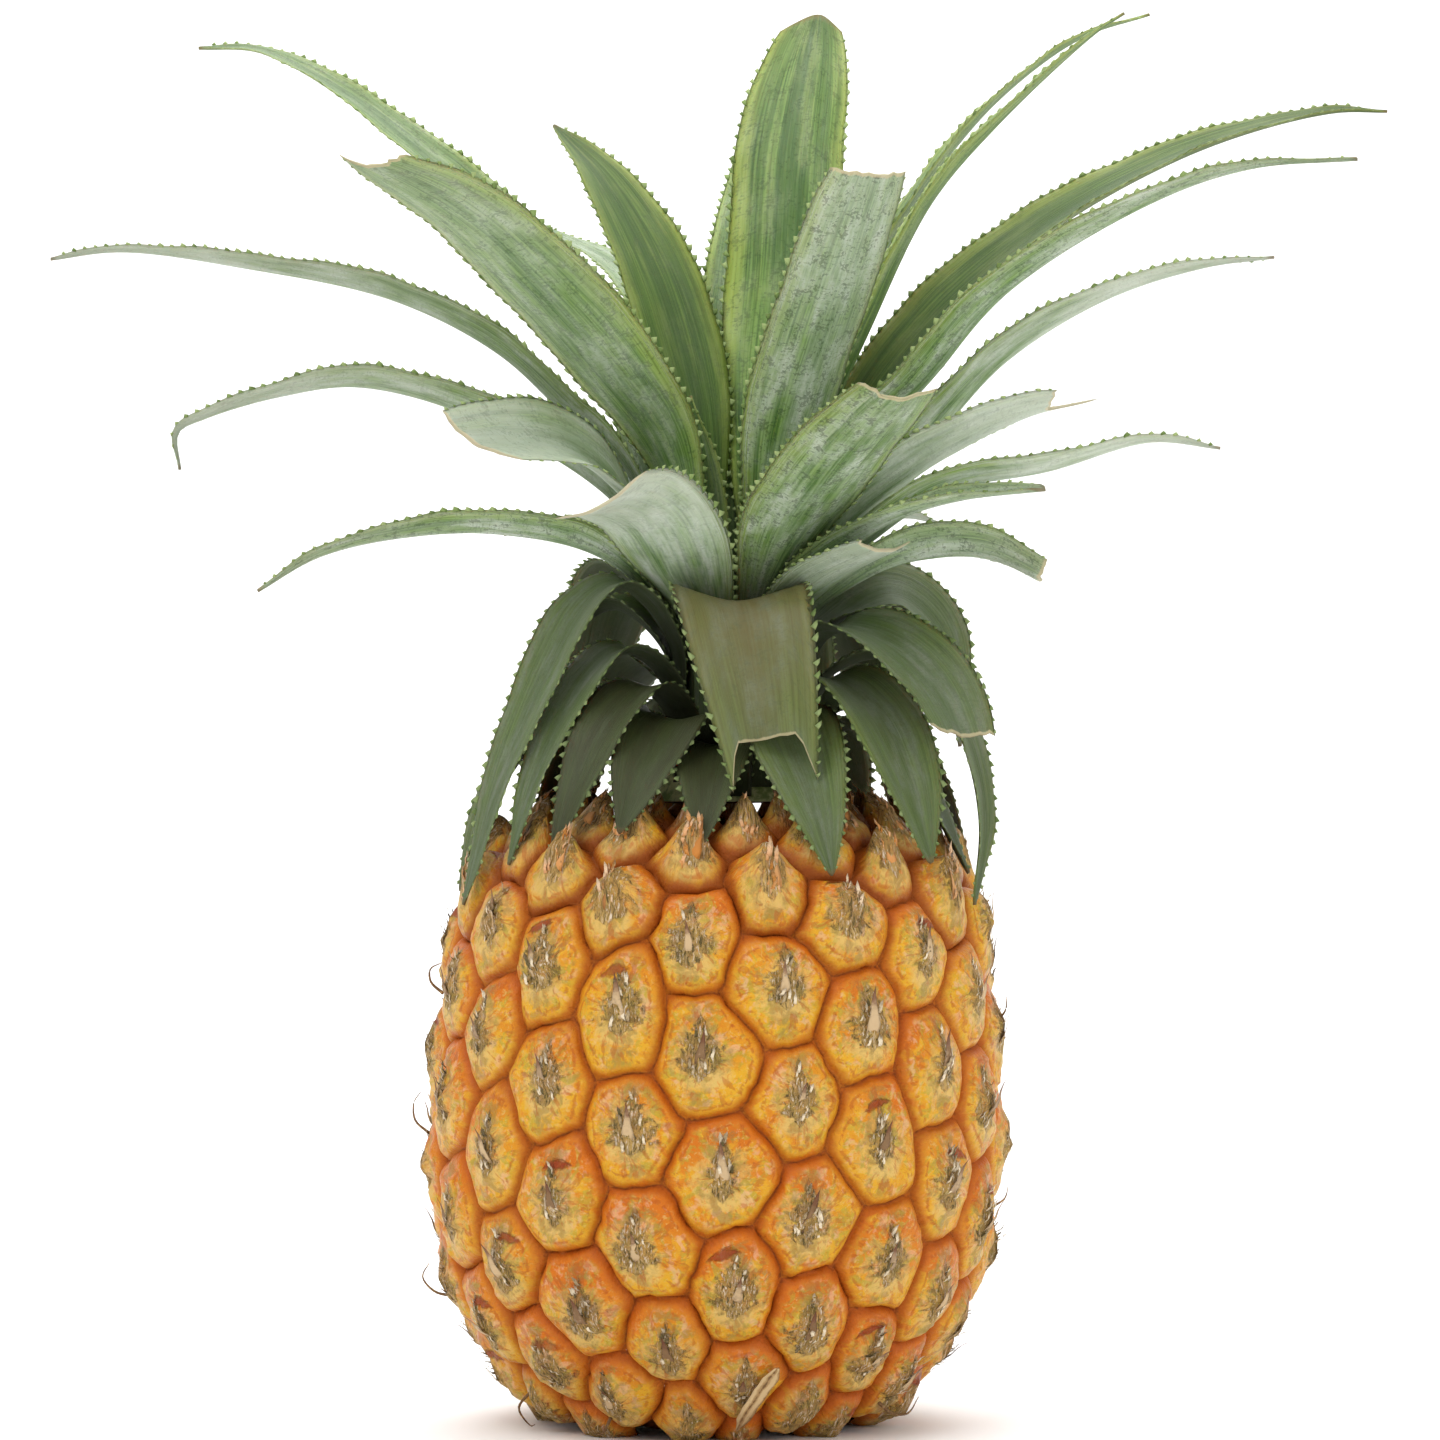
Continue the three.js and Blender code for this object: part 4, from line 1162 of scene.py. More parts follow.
class Blade:
    """The fine form of one leaf: a channelled blade with thin margins."""

    NECK_THICKNESS = 0.65
    THICKNESS = 1.5
    TIP_THICKNESS = 0.8
    MARGIN_THICKNESS = 0.22
    ROLL_LENGTH = 40.0
    ROW_STEP = 1.5
    ROWS = (40, 92)
    MARGIN_POINTS = 70
    BEND = 0.34
    ACROSS = 14
    CUT_END = 0.5

    def __init__(self, leaf: Leaf, layer: int, layers: int, bundle: Bundle) -> None:
        """Lays the midrib.

        Args:
            leaf: sizes of the leaf.
            layer: its place in the bundle, from the outside.
            layers: number of leaves.
            bundle: how the bases are nested.
        """
        self.leaf = leaf
        self.bundle = bundle
        radius = bundle.outer - layer * bundle.step
        height = bundle.low + layer * bundle.rise
        way = [(radius, height), (radius, leaf.neck), *zip(leaf.way[::2], leaf.way[1::2])]
        places = []
        for i, (r, z) in enumerate(way):
            outward = max(0.0, (i - 1) / (len(way) - 2))
            turn = math.radians(leaf.turn + leaf.swing * outward**1.5)
            places.append((r * math.cos(turn), r * math.sin(turn), z))
        self.curve = Curve3(np.asarray(places, float))
        self.length = self.curve.length
        self.neck = leaf.neck - height
        angle = blend(bundle.angle_outer, bundle.angle_inner, layer / layers)
        self.base_half = radius * math.sin(math.radians(angle))
        self.base_fold = math.tan(math.radians(angle / 2))
        self.full = blend(self.neck, self.length, leaf.widen)
        self.chance = random.Random(100 + layer)
        self.phase = self.chance.random() * 100
        self.is_cut = leaf.end >= self.CUT_END or min(leaf.cut) < 1

    def grown(self, share: Array) -> Array:
        """How far the leaf has grown, from 0 to 1, from its base to its full section."""
        return smooth(0.5 * self.neck, self.full, share * self.length)

    def half_width(self, share: Array) -> Array:
        """Finds the half width of the blade.

        Args:
            share: shares of the length.

        Returns:
            The half width at each.
        """
        wide = blend(self.base_half, self.leaf.width / 2, self.grown(share))
        start = self.full / self.length
        outside = np.maximum(0, (share - start) / (1 - start))
        return wide * (1 - (1 - self.leaf.end) * outside**self.leaf.taper)

    def frame(self, share: Array) -> tuple[Array, Array, Array]:
        """Finds how the blade lies.

        Args:
            share: shares of the length.

        Returns:
            Middle, sideways direction and inner direction at each.
        """
        at, along = self.curve.at(share), self.curve.along(share)
        turn = np.arctan2(at[..., 1], at[..., 0])
        side = np.stack([-np.sin(turn), np.cos(turn), np.zeros_like(turn)], axis=-1)
        side = unit(side - (side * along).sum(-1, keepdims=True) * along)
        past_neck = smooth(self.neck, self.neck + self.ROLL_LENGTH, share * self.length)
        rolled = np.radians(self.leaf.roll * past_neck)
        turned = np.cross(along, side)
        side = side * np.cos(rolled)[..., None] + turned * np.sin(rolled)[..., None]
        return at, side, np.cross(along, side)

    def left(self, across: Array) -> Array:
        """How much of a cut or torn leaf is left.

        Args:
            across: places from -1 to 1 between the margins.

        Returns:
            The share of the length that is left at each.
        """
        low, middle, high = self.leaf.cut
        corner = self.leaf.square
        share = np.interp(across, [-1, -corner, corner, 1], [low, middle, middle, high])
        if self.is_cut:
            rough = [noise.noise(Vector((a * 3.5 + self.phase, 0.5, 0.5))) for a in across]
            finer = [noise.noise(Vector((a * 11 + self.phase, 3.5, 0.5))) for a in across]
            return share - (1.8 * np.abs(rough) + 0.7 * np.abs(finer)) / self.length
        blunt = self.leaf.end * self.leaf.width / 2
        return share - blunt * np.abs(across) ** 2.2 / self.length

    def section(self, share: Array, across: Array, face: float) -> Array:
        """Points of one face, or of the middle of the blade.

        Args:
            share: shares of the length.
            across: places from -1 to 1 between the margins, as many as the shares.
            face: 1 for the upper face, -1 for the lower one, 0 for the middle.

        Returns:
            The points in millimetres, one a row.
        """
        share = share * self.left(across)
        half = self.half_width(share)
        grown = self.grown(share)
        fold = blend(self.base_fold, self.leaf.channel, grown)
        bend = self.BEND
        trough = (np.sqrt(across**2 + bend**2) - bend) / (math.sqrt(1 + bend**2) - bend)
        distance = share * self.length
        wave = np.sin(distance * 0.21 + self.phase)
        wave = wave + 0.6 * np.sin(distance * 0.47 + self.phase * 2 + across * 1.5)
        edge = np.abs(across) ** 3 * grown * smooth(0, 0.25, share)
        up = half * fold * trough + 0.22 * wave * edge
        blade = blend(self.THICKNESS, self.TIP_THICKNESS, share)
        thick = blend(self.NECK_THICKNESS, blade, grown) * (1 - 0.25 * smooth(0.6, 1, share))
        thick = blend(self.MARGIN_THICKNESS, thick, (1 - np.abs(across) ** 2.2)) / 2
        up = up + face * thick * (np.abs(across) < 1)
        at, side, inner = self.frame(share)
        place = at + side * (across * half)[:, None] + inner * up[:, None]
        place[:, 0] += self.bundle.aside
        return place

    def margin(self, side: int) -> tuple[Array, Array, Array, Array]:
        """Where the spines of one margin stand.

        Args:
            side: -1 or 1.

        Returns:
            Points of the margin, the outward direction at each, the spines' size against the greatest, and
            their shade.
        """
        start = min(0.75 * self.neck, 0.5 * self.length) / self.length
        share = np.linspace(start, 0.985, self.MARGIN_POINTS)
        edge = np.full_like(share, float(side))
        place = self.section(share, edge, 0)
        inside = self.section(share, edge * 0.8, 0)
        size = blend(0.72, 1.0, smooth(0, 0.4, share)) * (1 - 0.35 * smooth(0.8, 1, share))
        # Painted shade for the spines: the leaf's shade, and more towards the base inside the bundle.
        dim = np.maximum(self.leaf.look.value[1], 1 - smooth(15, 60, share * self.length))
        return place, unit(place - inside), size * min(1.0, 0.75 + self.leaf.width / 80), dim

    def build(self, material: Material) -> Object:
        """Makes the piece.

        Args:
            material: its finish.

        Returns:
            The piece.
        """
        rows = int(np.clip(self.length / self.ROW_STEP, *self.ROWS))
        upper = np.linspace(-1, 1, self.ACROSS + 1)
        across = np.concatenate([upper, upper[-2:0:-1]])
        face = np.concatenate([np.ones(self.ACROSS + 1), -np.ones(self.ACROSS - 1)])
        around = len(across)
        sheet = Sheet()
        carried = {key: [] for key in ("along", "across", "upper", "to_end")}
        for share in np.linspace(0, 1, rows):
            shares = np.full(around, share)
            sheet.points.extend(self.section(shares, across, face).tolist())
            found = (shares * self.length, across, (face + 1) / 2, (1 - shares) * self.length)
            for key, numbers in zip(carried, found):
                carried[key].extend(numbers.tolist())
        sheet.walls(0, rows, around)
        for row, turned in ((0, False), (rows - 1, True)):
            start = row * around
            for i in range(self.ACROSS):
                corners = [i, around - i, around - i - 1, i + 1]
                if i in (0, self.ACROSS - 1):
                    corners = [0, around - 1, 1] if i == 0 else [i, i + 2, i + 1]
                sheet.faces.append([start + corner for corner in (corners[::-1] if turned else corners)])
        whole = dict(zip(("bloom", "shade", "gold", "chalk", "tan"), self.leaf.look.value))
        whole.update(seed=self.chance.random(), is_cut=float(self.is_cut))
        for key, number in whole.items():
            carried[key] = [number] * len(sheet.points)
        sheet.on_points = carried
        return sheet.to_object("blade_" + self.leaf.name, [material])


@dataclass(frozen=True)
class LeafFinish:
    """Colours of the crown's leaves.

    Attributes:
        green: the blade.
        deep: its channel and darker stripes.
        gold: yellow-green along the margins.
        bloom: the wax over it.
        white: where the wax is thick.
        shade: darker tone of the old lower leaves, partly their own colour and partly painted shade under the
            dome and at the leaf bases.
        scar: dark scratches.
        tan: old leaves that dry out.
        painted_underside_shade: painted shade on the undersides of the lower leaves.
        dry: brown tips.
        cut: the pale edge of a cut.
    """

    green: Colour = (124, 158, 74)
    deep: Colour = (66, 102, 40)
    gold: Colour = (178, 196, 88)
    bloom: Colour = (156, 174, 144)
    white: Colour = (206, 214, 200)
    shade: Colour = (58, 62, 34)
    scar: Colour = (52, 74, 36)
    tan: Colour = (134, 112, 70)
    painted_underside_shade: Colour = (40, 46, 24)
    dry: Colour = (126, 98, 62)
    cut: Colour = (206, 190, 150)

    def build(self) -> Material:
        """Makes the material.

        Returns:
            The finish of the leaves.
        """
        make = Finish("crown_leaf", self.deep)
        along, across, upper, to_end, seed = make.attributes("along", "across", "upper", "to_end", "seed")
        bloom, shade, gold, chalk, tan = make.attributes("bloom", "shade", "gold", "chalk", "tan")
        [is_cut] = make.attributes("is_cut")
        out = across.size()
        outer = along / (along + to_end + 0.01)
        thread = (across * 26.0 + seed * 40.0, along * 0.035, upper * 7.0 + seed * 20.0)
        stripes = make.cloud(thread, 1.0, 4, 0.62)
        bands = make.cloud((across * 5.0 + seed * 70.0, along * 0.02, upper * 5.0), 1.0, 3, 0.5)
        spread = (across * 2.2 + seed * 50.0, along * 0.05, upper * 9.0 + seed * 3.0)
        patch = make.cloud(spread, 1.3, 4, 0.6)
        rub = make.cloud((across * 4.0 + seed * 30.0, along * 0.3, upper * 4.0), 1.0, 5, 0.72)
        speck = make.cloud((across * 9.0, along * 0.9, seed * 60.0 + upper * 5.0), 1.8, 3, 0.6)
        bars = make.cloud((across * 5.0 + seed * 9.0, along * 1.9, seed * 33.0), 1.0, 3, 0.7)
        fresh = stripes.step(0.34, 0.64) * (1.0 - shade * 0.6) + shade * 0.25
        make.paint(fresh, self.green)
        make.paint(bands.step(0.58, 0.4) * 0.35, self.deep)
        channel = (out + (bands - 0.5) * 0.7).step(0.42, 0.08) * (upper * 0.7 + 0.2)
        make.paint(channel * 0.75, self.deep)
        rim = (out + (bands - 0.5) * 0.35 + (patch - 0.5) * 0.3).step(0.62, 1.0)
        make.paint(rim * (gold * 0.85 + 0.1), self.gold)
        flush = (patch * 0.7 + bands * 0.5).step(0.58, 0.74) * gold
        make.paint(flush * 0.3, self.gold)
        make.paint(tan * (1.55 - outer - out * 0.3) * (patch * 0.7 + 0.6), self.tan)
        waxed = (patch * 0.65 + stripes * 0.25 + rub * 0.25 - out * 0.05).step(0.4, 0.72)
        wax = waxed * bloom * (1.0 - upper * 0.3)
        make.paint(wax * 0.9, self.bloom)
        thick = (patch * 0.65 + rub * 0.4 + speck * 0.15).step(0.58, 0.8) * bloom * (1.0 - upper * 0.4)
        make.paint(thick * 0.7, self.white)
        dusty = (outer + (patch - 0.5) * 0.8).step(0.3, 0.95) * chalk
        make.paint(dusty * 0.8, self.white)
        worn = (0.25 + bloom * 0.55) * (1.0 - shade) * (1.0 - chalk * 0.8)
        scars = (rub * 0.65 + speck * 0.4).step(0.55, 0.6) * worn
        make.paint(scars * 0.9, self.scar)
        marks = bars.step(0.56, 0.63) * patch.step(0.42, 0.52) * worn
        make.paint(marks * 0.6, self.scar)
        # Painted shade at the leaf bases inside the bundle, and the shade of each look: partly the darker
        # colour of old lower leaves, partly painted shade under the dome.
        shaded_bases = along.step(52.0, 18.0)
        make.paint(shade.most(shaded_bases * 0.75) * (0.7 + patch * 0.5), self.shade)
        # Painted shade on the undersides of shaded leaves, which face into the dome.
        under = (1.0 - upper) * shade.step(0.3, 0.5)
        make.paint(under * 0.75, self.painted_underside_shade)
        tip = (to_end + (rub - 0.5) * 4.0).step(1.6, 0.0) * (1.0 - is_cut)
        make.paint(tip * 0.6, self.dry)
        sliced = (to_end + (rub - 0.5) * 1.2).step(0.8, 0.4) * is_cut
        make.paint(sliced * 0.65, self.cut)
        relief = stripes * 0.7 + bands * 0.3 + speck * 0.12
        rough = 0.48 + wax * 0.25 + tip * 0.2 + under * 0.45
        return make.close(rough, relief, depth=0.35, coat=(1.0 - under) * 0.07, soft=0.04)


@dataclass
class Crown:
    """The crown of leaves.

    Attributes:
        leaves: the leaves from the outside of the bundle to its heart.
        bundle: how their bases are nested.
    """

    leaves: tuple[Leaf, ...] = LEAVES
    bundle: Bundle = field(default_factory=Bundle)

    def __post_init__(self) -> None:
        """Lays out the blades."""
        self.blades = [Blade(leaf, i, len(self.leaves), self.bundle) for i, leaf in enumerate(self.leaves)]

    def build(self, material: Material) -> None:
        """Makes each blade in place of its solid.

        Args:
            material: the finish of the leaves.
        """
        for blade in self.blades:
            made = blade.build(material)
            droops = blade.leaf.name.startswith("droop")
            hand_in(made, "lower_leaf" if droops else "upper_leaf", "leaf_" + blade.leaf.name)


# ---- Things that repeat ----


class Grower(NodeTree):
    """A Geometry Nodes tree under construction, with named inputs."""

    KINDS = {float: "Float", int: "Int", Object: "Object", Material: "Material"}

    def __init__(self, name: str, inputs: dict[str, float | int | Object | Material]) -> None:
        """Starts the tree.

        Args:
            name: the tree's name.
            inputs: value of each input, by its name.
        """
        super().__init__(bpy.data.node_groups.new(name, "GeometryNodeTree"))
        self.tree.interface.new_socket("Geometry", in_out="INPUT", socket_type="NodeSocketGeometry")
        self.values = {}
        for key, given in inputs.items():
            kind = "NodeSocket" + self.KINDS[type(given)]
            made = self.tree.interface.new_socket(key, in_out="INPUT", socket_type=kind)
            self.values[made.identifier] = given
        self.tree.interface.new_socket("Geometry", in_out="OUTPUT", socket_type="NodeSocketGeometry")
        self.given = self.tree.nodes.new("NodeGroupInput").outputs
        self.end = self.tree.nodes.new("NodeGroupOutput")

    def named(self, name: str, wide: bool = False) -> Socket:
        """A number, or a vector, that the points carry."""
        settings = {"data_type": "FLOAT_VECTOR" if wide else "FLOAT"}
        return self.node("GeometryNodeInputNamedAttribute", settings, {"Name": name}).outputs["Attribute"]

    def math(self, operation: str, first: Given, second: Given) -> Socket:
        """A sum, product or other operation on two numbers."""
        return self.node("ShaderNodeMath", {"operation": operation}, {0: first, 1: second}).outputs[0]

    def vector(self, operation: str, first: Given, second: Given) -> Socket:
        """An operation on two vectors."""
        return self.node("ShaderNodeVectorMath", {"operation": operation}, {0: first, 1: second}).outputs[0]

    def scaled(self, vector: Socket, by: Given) -> Socket:
        """A vector times a number."""
        inputs = {"Vector": vector, "Scale": by}
        return self.node("ShaderNodeVectorMath", {"operation": "SCALE"}, inputs).outputs[0]

    def chance(self, low: Given, high: Given, seed: int, wide: bool = False) -> Socket:
        """A random number, or vector, of each point.

        Args:
            low: smallest value.
            high: largest value.
            seed: which row of random numbers.
            wide: true for a vector.

        Returns:
            The value's output.
        """
        settings = {"data_type": "FLOAT_VECTOR" if wide else "FLOAT"}
        first, second, out = (0, 1, 0) if wide else (2, 3, 1)
        inputs = {"Seed": seed, first: low, second: high}
        return self.node("FunctionNodeRandomValue", settings, inputs).outputs[out]

    def turned(self, outward: Socket, onward: Socket) -> Socket:
        """The turn that brings Z to the outward direction and X near the onward one."""
        settings = {"primary_axis": "Z", "secondary_axis": "X"}
        return self.node("FunctionNodeAxesToRotation", settings, {0: outward, 1: onward}).outputs[0]

    def geometry(self, name: str) -> Socket:
        """The geometry of an object that is given as an input."""
        return self.node("GeometryNodeObjectInfo", inputs={"Object": self.given[name]}).outputs["Geometry"]

    def close(self, points: Socket, turn: Socket, sizes: Pair, seeds: tuple[int, int]) -> None:
        """Ends the tree: the form on every point, with a random number named tone, and the finish on it.

        Args:
            points: where it stands.
            turn: how it is turned there.
            sizes: smallest and largest size against the one that the points carry.
            seeds: the rows of random numbers for its size and its tone.
        """
        size = self.math("MULTIPLY", self.named("size"), self.chance(*sizes, seeds[0]))
        inputs = {"Points": points, "Instance": self.geometry("Form"), "Rotation": turn, "Scale": size}
        made = self.node("GeometryNodeInstanceOnPoints", inputs=inputs).outputs[0]
        settings = {"data_type": "FLOAT", "domain": "INSTANCE"}
        inputs = {"Geometry": made, "Name": "tone", "Value": self.chance(0.0, 1.0, seeds[1])}
        made = self.node("GeometryNodeStoreNamedAttribute", settings, inputs).outputs[0]
        made = self.node("GeometryNodeRealizeInstances", inputs={0: made}).outputs[0]
        inputs = {"Geometry": made, "Material": self.given["Finish"]}
        made = self.node("GeometryNodeSetMaterial", inputs=inputs).outputs[0]
        self.tree.links.new(made, self.end.inputs[0])

    def grow(self, name: str, carrier: Object, form: Object, material: Material) -> Object:
        """Runs the tree on a carrier and keeps the result as a plain mesh.

        Args:
            name: the new piece's name.
            carrier: the points or lines that it grows on, removed afterwards.
            form: what grows there, removed afterwards too.
            material: its finish.

        Returns:
            The piece.
        """
        modifier = carrier.modifiers.new("grow", "NODES")
        modifier.node_group = self.tree
        for identifier, given in self.values.items():
            modifier[identifier] = given
        graph = bpy.context.evaluated_depsgraph_get()
        mesh = bpy.data.meshes.new_from_object(
            carrier.evaluated_get(graph), preserve_all_data_layers=True, depsgraph=graph
        )
        mesh.name = name
        for spent in (carrier, form):
            bpy.data.objects.remove(spent)
        mesh.polygons.foreach_set("use_smooth", [True] * len(mesh.polygons))
        if not mesh.materials:
            mesh.materials.append(material)
        return show(name, mesh)


def tapered(name: str, sides: int, rows: Rows) -> Object:
    """A small closed spike: rings of points and a tip, used as the form of a spine or fleck.

    Args:
        name: its name.
        sides: points around a ring.
        rows: for each ring its place along X, its height Z, its half width along Y, its half thickness, and
            its share of the way to the tip; the last row is the tip.

    Returns:
        The object.
    """
    sheet = Sheet()
    shares = []
    for x, z, wide, thick, share in rows[:-1]:
        for i in range(sides):
            angle = 2 * math.pi * (i + 0.5) / sides
            sheet.points.append((x + thick * math.cos(angle), wide * math.sin(angle), z))
            shares.append(share)
    x, z, _, _, share = rows[-1]
    sheet.points.append((x, 0.0, z))
    shares.append(share)
    sheet.walls(0, len(rows) - 1, sides)
    last = (len(rows) - 2) * sides
    for i in range(sides):
        sheet.faces.append([last + i, last + (i + 1) % sides, len(sheet.points) - 1])
    sheet.faces.append(list(range(sides))[::-1])
    sheet.on_points = {"tip": shares}
    return sheet.to_object(name, [])


@dataclass
class MarginSpines:
    """The small hooked spines along both margins of every leaf.

    Attributes:
        pitch: distance between spines in millimetres.
        height: how far a spine stands out.
        foot: its length along the margin.
        shake: how much its direction wavers.
        sizes: smallest and largest size against that height.
    """

    pitch: float = 2.4
    height: float = 0.8
    foot: float = 1.9
    shake: float = 0.16
    sizes: Pair = (0.7, 1.2)

    def form(self) -> Object:
        """One spine, pointing out along Z and hooked towards the leaf's tip along X."""
        middle = (0.12, self.height * 0.5, 0.15, self.foot * 0.27, 0.45)
        return tapered("spine", 5, ((0, -0.25, 0.2, self.foot / 2, 0), middle, (0.5, self.height, 0, 0, 1)))

    def build(self, crown: Crown, material: Material) -> None:
        """Grows the spines.

        Args:
            crown: the crown whose margins they stand on.
            material: their finish.
        """
        keys = ("outward", "size", "marked")
        lines = Sheet(on_points={key: [] for key in keys})
        for blade in crown.blades:
            for side in (-1, 1):
                place, *found = blade.margin(side)
                start = len(lines.points)
                lines.points.extend(place.tolist())
                lines.edges.extend((start + i, start + i + 1) for i in range(len(place) - 1))
                for key, numbers in zip(keys, found):
                    lines.on_points[key].extend(numbers.tolist())
        carrier = lines.to_object("margin_lines", [])
        form = self.form()
        make = Grower("margin_spines", {"Pitch": self.pitch * MM, "Form": form, "Finish": material})
        curve = make.node("GeometryNodeMeshToCurve", inputs={0: make.given["Geometry"]}).outputs[0]
        inputs = {"Curve": curve, "Length": make.given["Pitch"]}
        points = make.node("GeometryNodeResampleCurve", {"mode": "LENGTH"}, inputs)
        tangent = make.node("GeometryNodeInputTangent").outputs[0]
        shake = make.chance((-self.shake,) * 3, (self.shake,) * 3, 3, wide=True)
        rotation = make.turned(make.vector("ADD", make.named("outward", wide=True), shake), tangent)
        make.close(points.outputs[0], rotation, self.sizes, (8, 12))
        hand_in(make.grow("margin_spines", carrier, form, material), "upper_leaf")


@dataclass(frozen=True)
class Scatter:
    """How dry remains are strewn over the eyes, in millimetres.

    Attributes:
        name: the piece's name.
        amount: how many on each eye.
        low: lowest place against the eye's middle.
        high: highest place.
        widest: greatest half width of the patch.
        sink: how deep their feet sit in the skin.
        tilt: how much their direction wavers.
        lean: how far they lean outwards, as a slope.
        sizes: smallest and largest size.
        seed: first of the rows of random numbers.
        sides: points around the form.
        form: the form, lying along X and rising along Z.
    """

    name: str
    amount: int
    low: float
    high: float
    widest: float
    sink: float
    tilt: float
    lean: float
    sizes: Pair
    seed: int
    sides: int
    form: Rows


@dataclass
class FlowerRemains:
    """The dry flecks of the withered flowers and the bract tips that stand over them.

    Attributes:
        flecks: the small crumpled bits in the middle of an eye.
        tips: the pointed bract tips, shells that rise and bend over.
        lowest: height of the lowest eye that has them.
        heights_of_small: heights between which they shrink towards the top.
        drop: how far over the skin they start before they are set down on it.
        narrowing: half width of their patch against the way that is left to its top.
        least: half width of the patch at its top.
    """

    flecks: Scatter = Scatter("withered_flowers", 13, -4.6, 6.4, 2.2, 0.16, 0.34, 0.12, (0.6, 1.3), 5, 4, (
        (0, 0, 0.42, 0.18, 0), (0.75, 0.45, 0.34, 0.16, 0.35), (1.35, 0.4, 0.4, 0.14, 0.7),
        (2.1, 0.75, 0, 0, 1),
    ))
    tips: Scatter = Scatter("bract_tips", 1, -2.6, -1.6, 0.4, 0.1, 0.16, 0.14, (0.8, 1.1), 9, 6, (
        (0, -0.3, 1.1, 0.4, 0), (1.7, 0.5, 1.25, 0.36, 0.22), (3.3, 0.8, 0.9, 0.3, 0.45),
        (4.9, 0.7, 0.6, 0.24, 0.68), (6.4, 0.9, 0.34, 0.16, 0.85), (8.2, 1.5, 0, 0, 1),
    ))
    lowest: float = 8.0
    heights_of_small: Pair = (104, 116)
    drop: float = 6.0
    narrowing: float = 0.42
    least: float = 0.2

    def carrier(self, skin: FruitSkin) -> Object:
        """A point in the middle of each eye with its directions.

        Args:
            skin: the skin whose eyes are meant.

        Returns:
            The object.
        """
        keys = ("outward", "onward", "sideways", "size", "marked", "breadth")
        middles = Sheet(on_points={key: [] for key in keys})
        for eye in skin.eyes:
            turn, distance, flat = (np.asarray([v], float) for v in (eye.turn, eye.distance, 0.0))
            middle = skin.surface.at(turn, distance, flat)[0]
            if middle[2] < self.lowest:
                continue
            out = unit(skin.surface.at(turn, distance, flat + 1) - middle)[0]
            up = unit(skin.surface.at(turn, distance + 1, flat) - middle)[0]
            aside = np.cross(up, out)
            middles.points.append(middle + aside * eye.drift)
            high = float(smooth(*self.heights_of_small, middle[2]))
            size = 1 + 0.15 * math.sin(eye.number * 1.7) + 0.35 * eye.crown - 0.2 * high
            for key, given in zip(keys, (out, up, aside, size, eye.crown, eye.breadth)):
                middles.on_points[key].append(given)
        return middles.to_object("eye_middles", [])

    def tree(self, scatter: Scatter, form: Object, skin: Object, material: Material) -> Grower:
        """The tree that strews a form over the eyes.

        Args:
            scatter: where and how many.
            form: what is strewn.
            skin: the surface that it stands on.
            material: its finish.

        Returns:
            The tree.
        """
        make = Grower(scatter.name, {
            "Amount": scatter.amount, "Low": scatter.low * MM, "High": scatter.high * MM,
            "Widest": scatter.widest * MM, "Form": form, "Skin": skin, "Finish": material,
        })
        given, seed = make.given, scatter.seed
        inputs = {"Geometry": given["Geometry"], "Amount": given["Amount"]}
        many = make.node("GeometryNodeDuplicateElements", {"domain": "POINT"}, inputs)
        outward, onward = make.named("outward", wide=True), make.named("onward", wide=True)
        up = make.chance(given["Low"], given["High"], seed)
        room = make.math("MULTIPLY", make.math("SUBTRACT", given["High"], up), self.narrowing)
        room = make.math("ADD", make.math("MINIMUM", room, given["Widest"]), self.least * MM)
        room = make.math("MULTIPLY", room, make.named("breadth"))
        aside = make.math("MULTIPLY", make.chance(-1.0, 1.0, seed + 1), room)
        beside = make.scaled(make.named("sideways", True), aside)
        offset = make.vector("ADD", make.scaled(onward, up), beside)
        above = make.scaled(outward, self.drop * MM)
        position = make.node("GeometryNodeInputPosition").outputs[0]
        start = make.vector("ADD", position, make.vector("ADD", offset, above))
        hit = make.node("GeometryNodeRaycast", inputs={
            "Target Geometry": make.geometry("Skin"), "Source Position": start,
            "Ray Direction": make.scaled(outward, -1.0), "Ray Length": 2 * self.drop * MM,
        })
        sunk = make.scaled(outward, scatter.sink * MM)
        seated = make.vector("SUBTRACT", hit.outputs["Hit Position"], sunk)
        placed = make.node("GeometryNodeSetPosition", inputs={
            "Geometry": many.outputs[0], "Selection": hit.outputs["Is Hit"], "Position": seated,
        })
        waver = make.chance((-scatter.tilt,) * 3, (scatter.tilt,) * 3, seed + 2, wide=True)
        outwards = make.vector("ADD", waver, make.scaled(outward, scatter.lean))
        leaning = make.vector("ADD", onward, outwards)
        across = make.vector("CROSS_PRODUCT", leaning, make.named("sideways", True))
        rotation = make.turned(make.scaled(across, -1.0), leaning)
        make.close(placed.outputs[0], rotation, scatter.sizes, (seed + 3, seed + 4))
        return make

    def build(self, skin: FruitSkin, surface: Object, finishes: dict[str, Material]) -> None:
        """Grows the flecks and the bract tips.

        Args:
            skin: the layout of the eyes.
            surface: the made skin.
            finishes: the finish of each of the two, by its name.
        """
        for scatter in (self.flecks, self.tips):
            material = finishes[scatter.name]
            form = tapered(scatter.name + "_form", scatter.sides, scatter.form)
            make = self.tree(scatter, form, surface, material)
            hand_in(make.grow(scatter.name, self.carrier(skin), form, material), "fruit_skin")


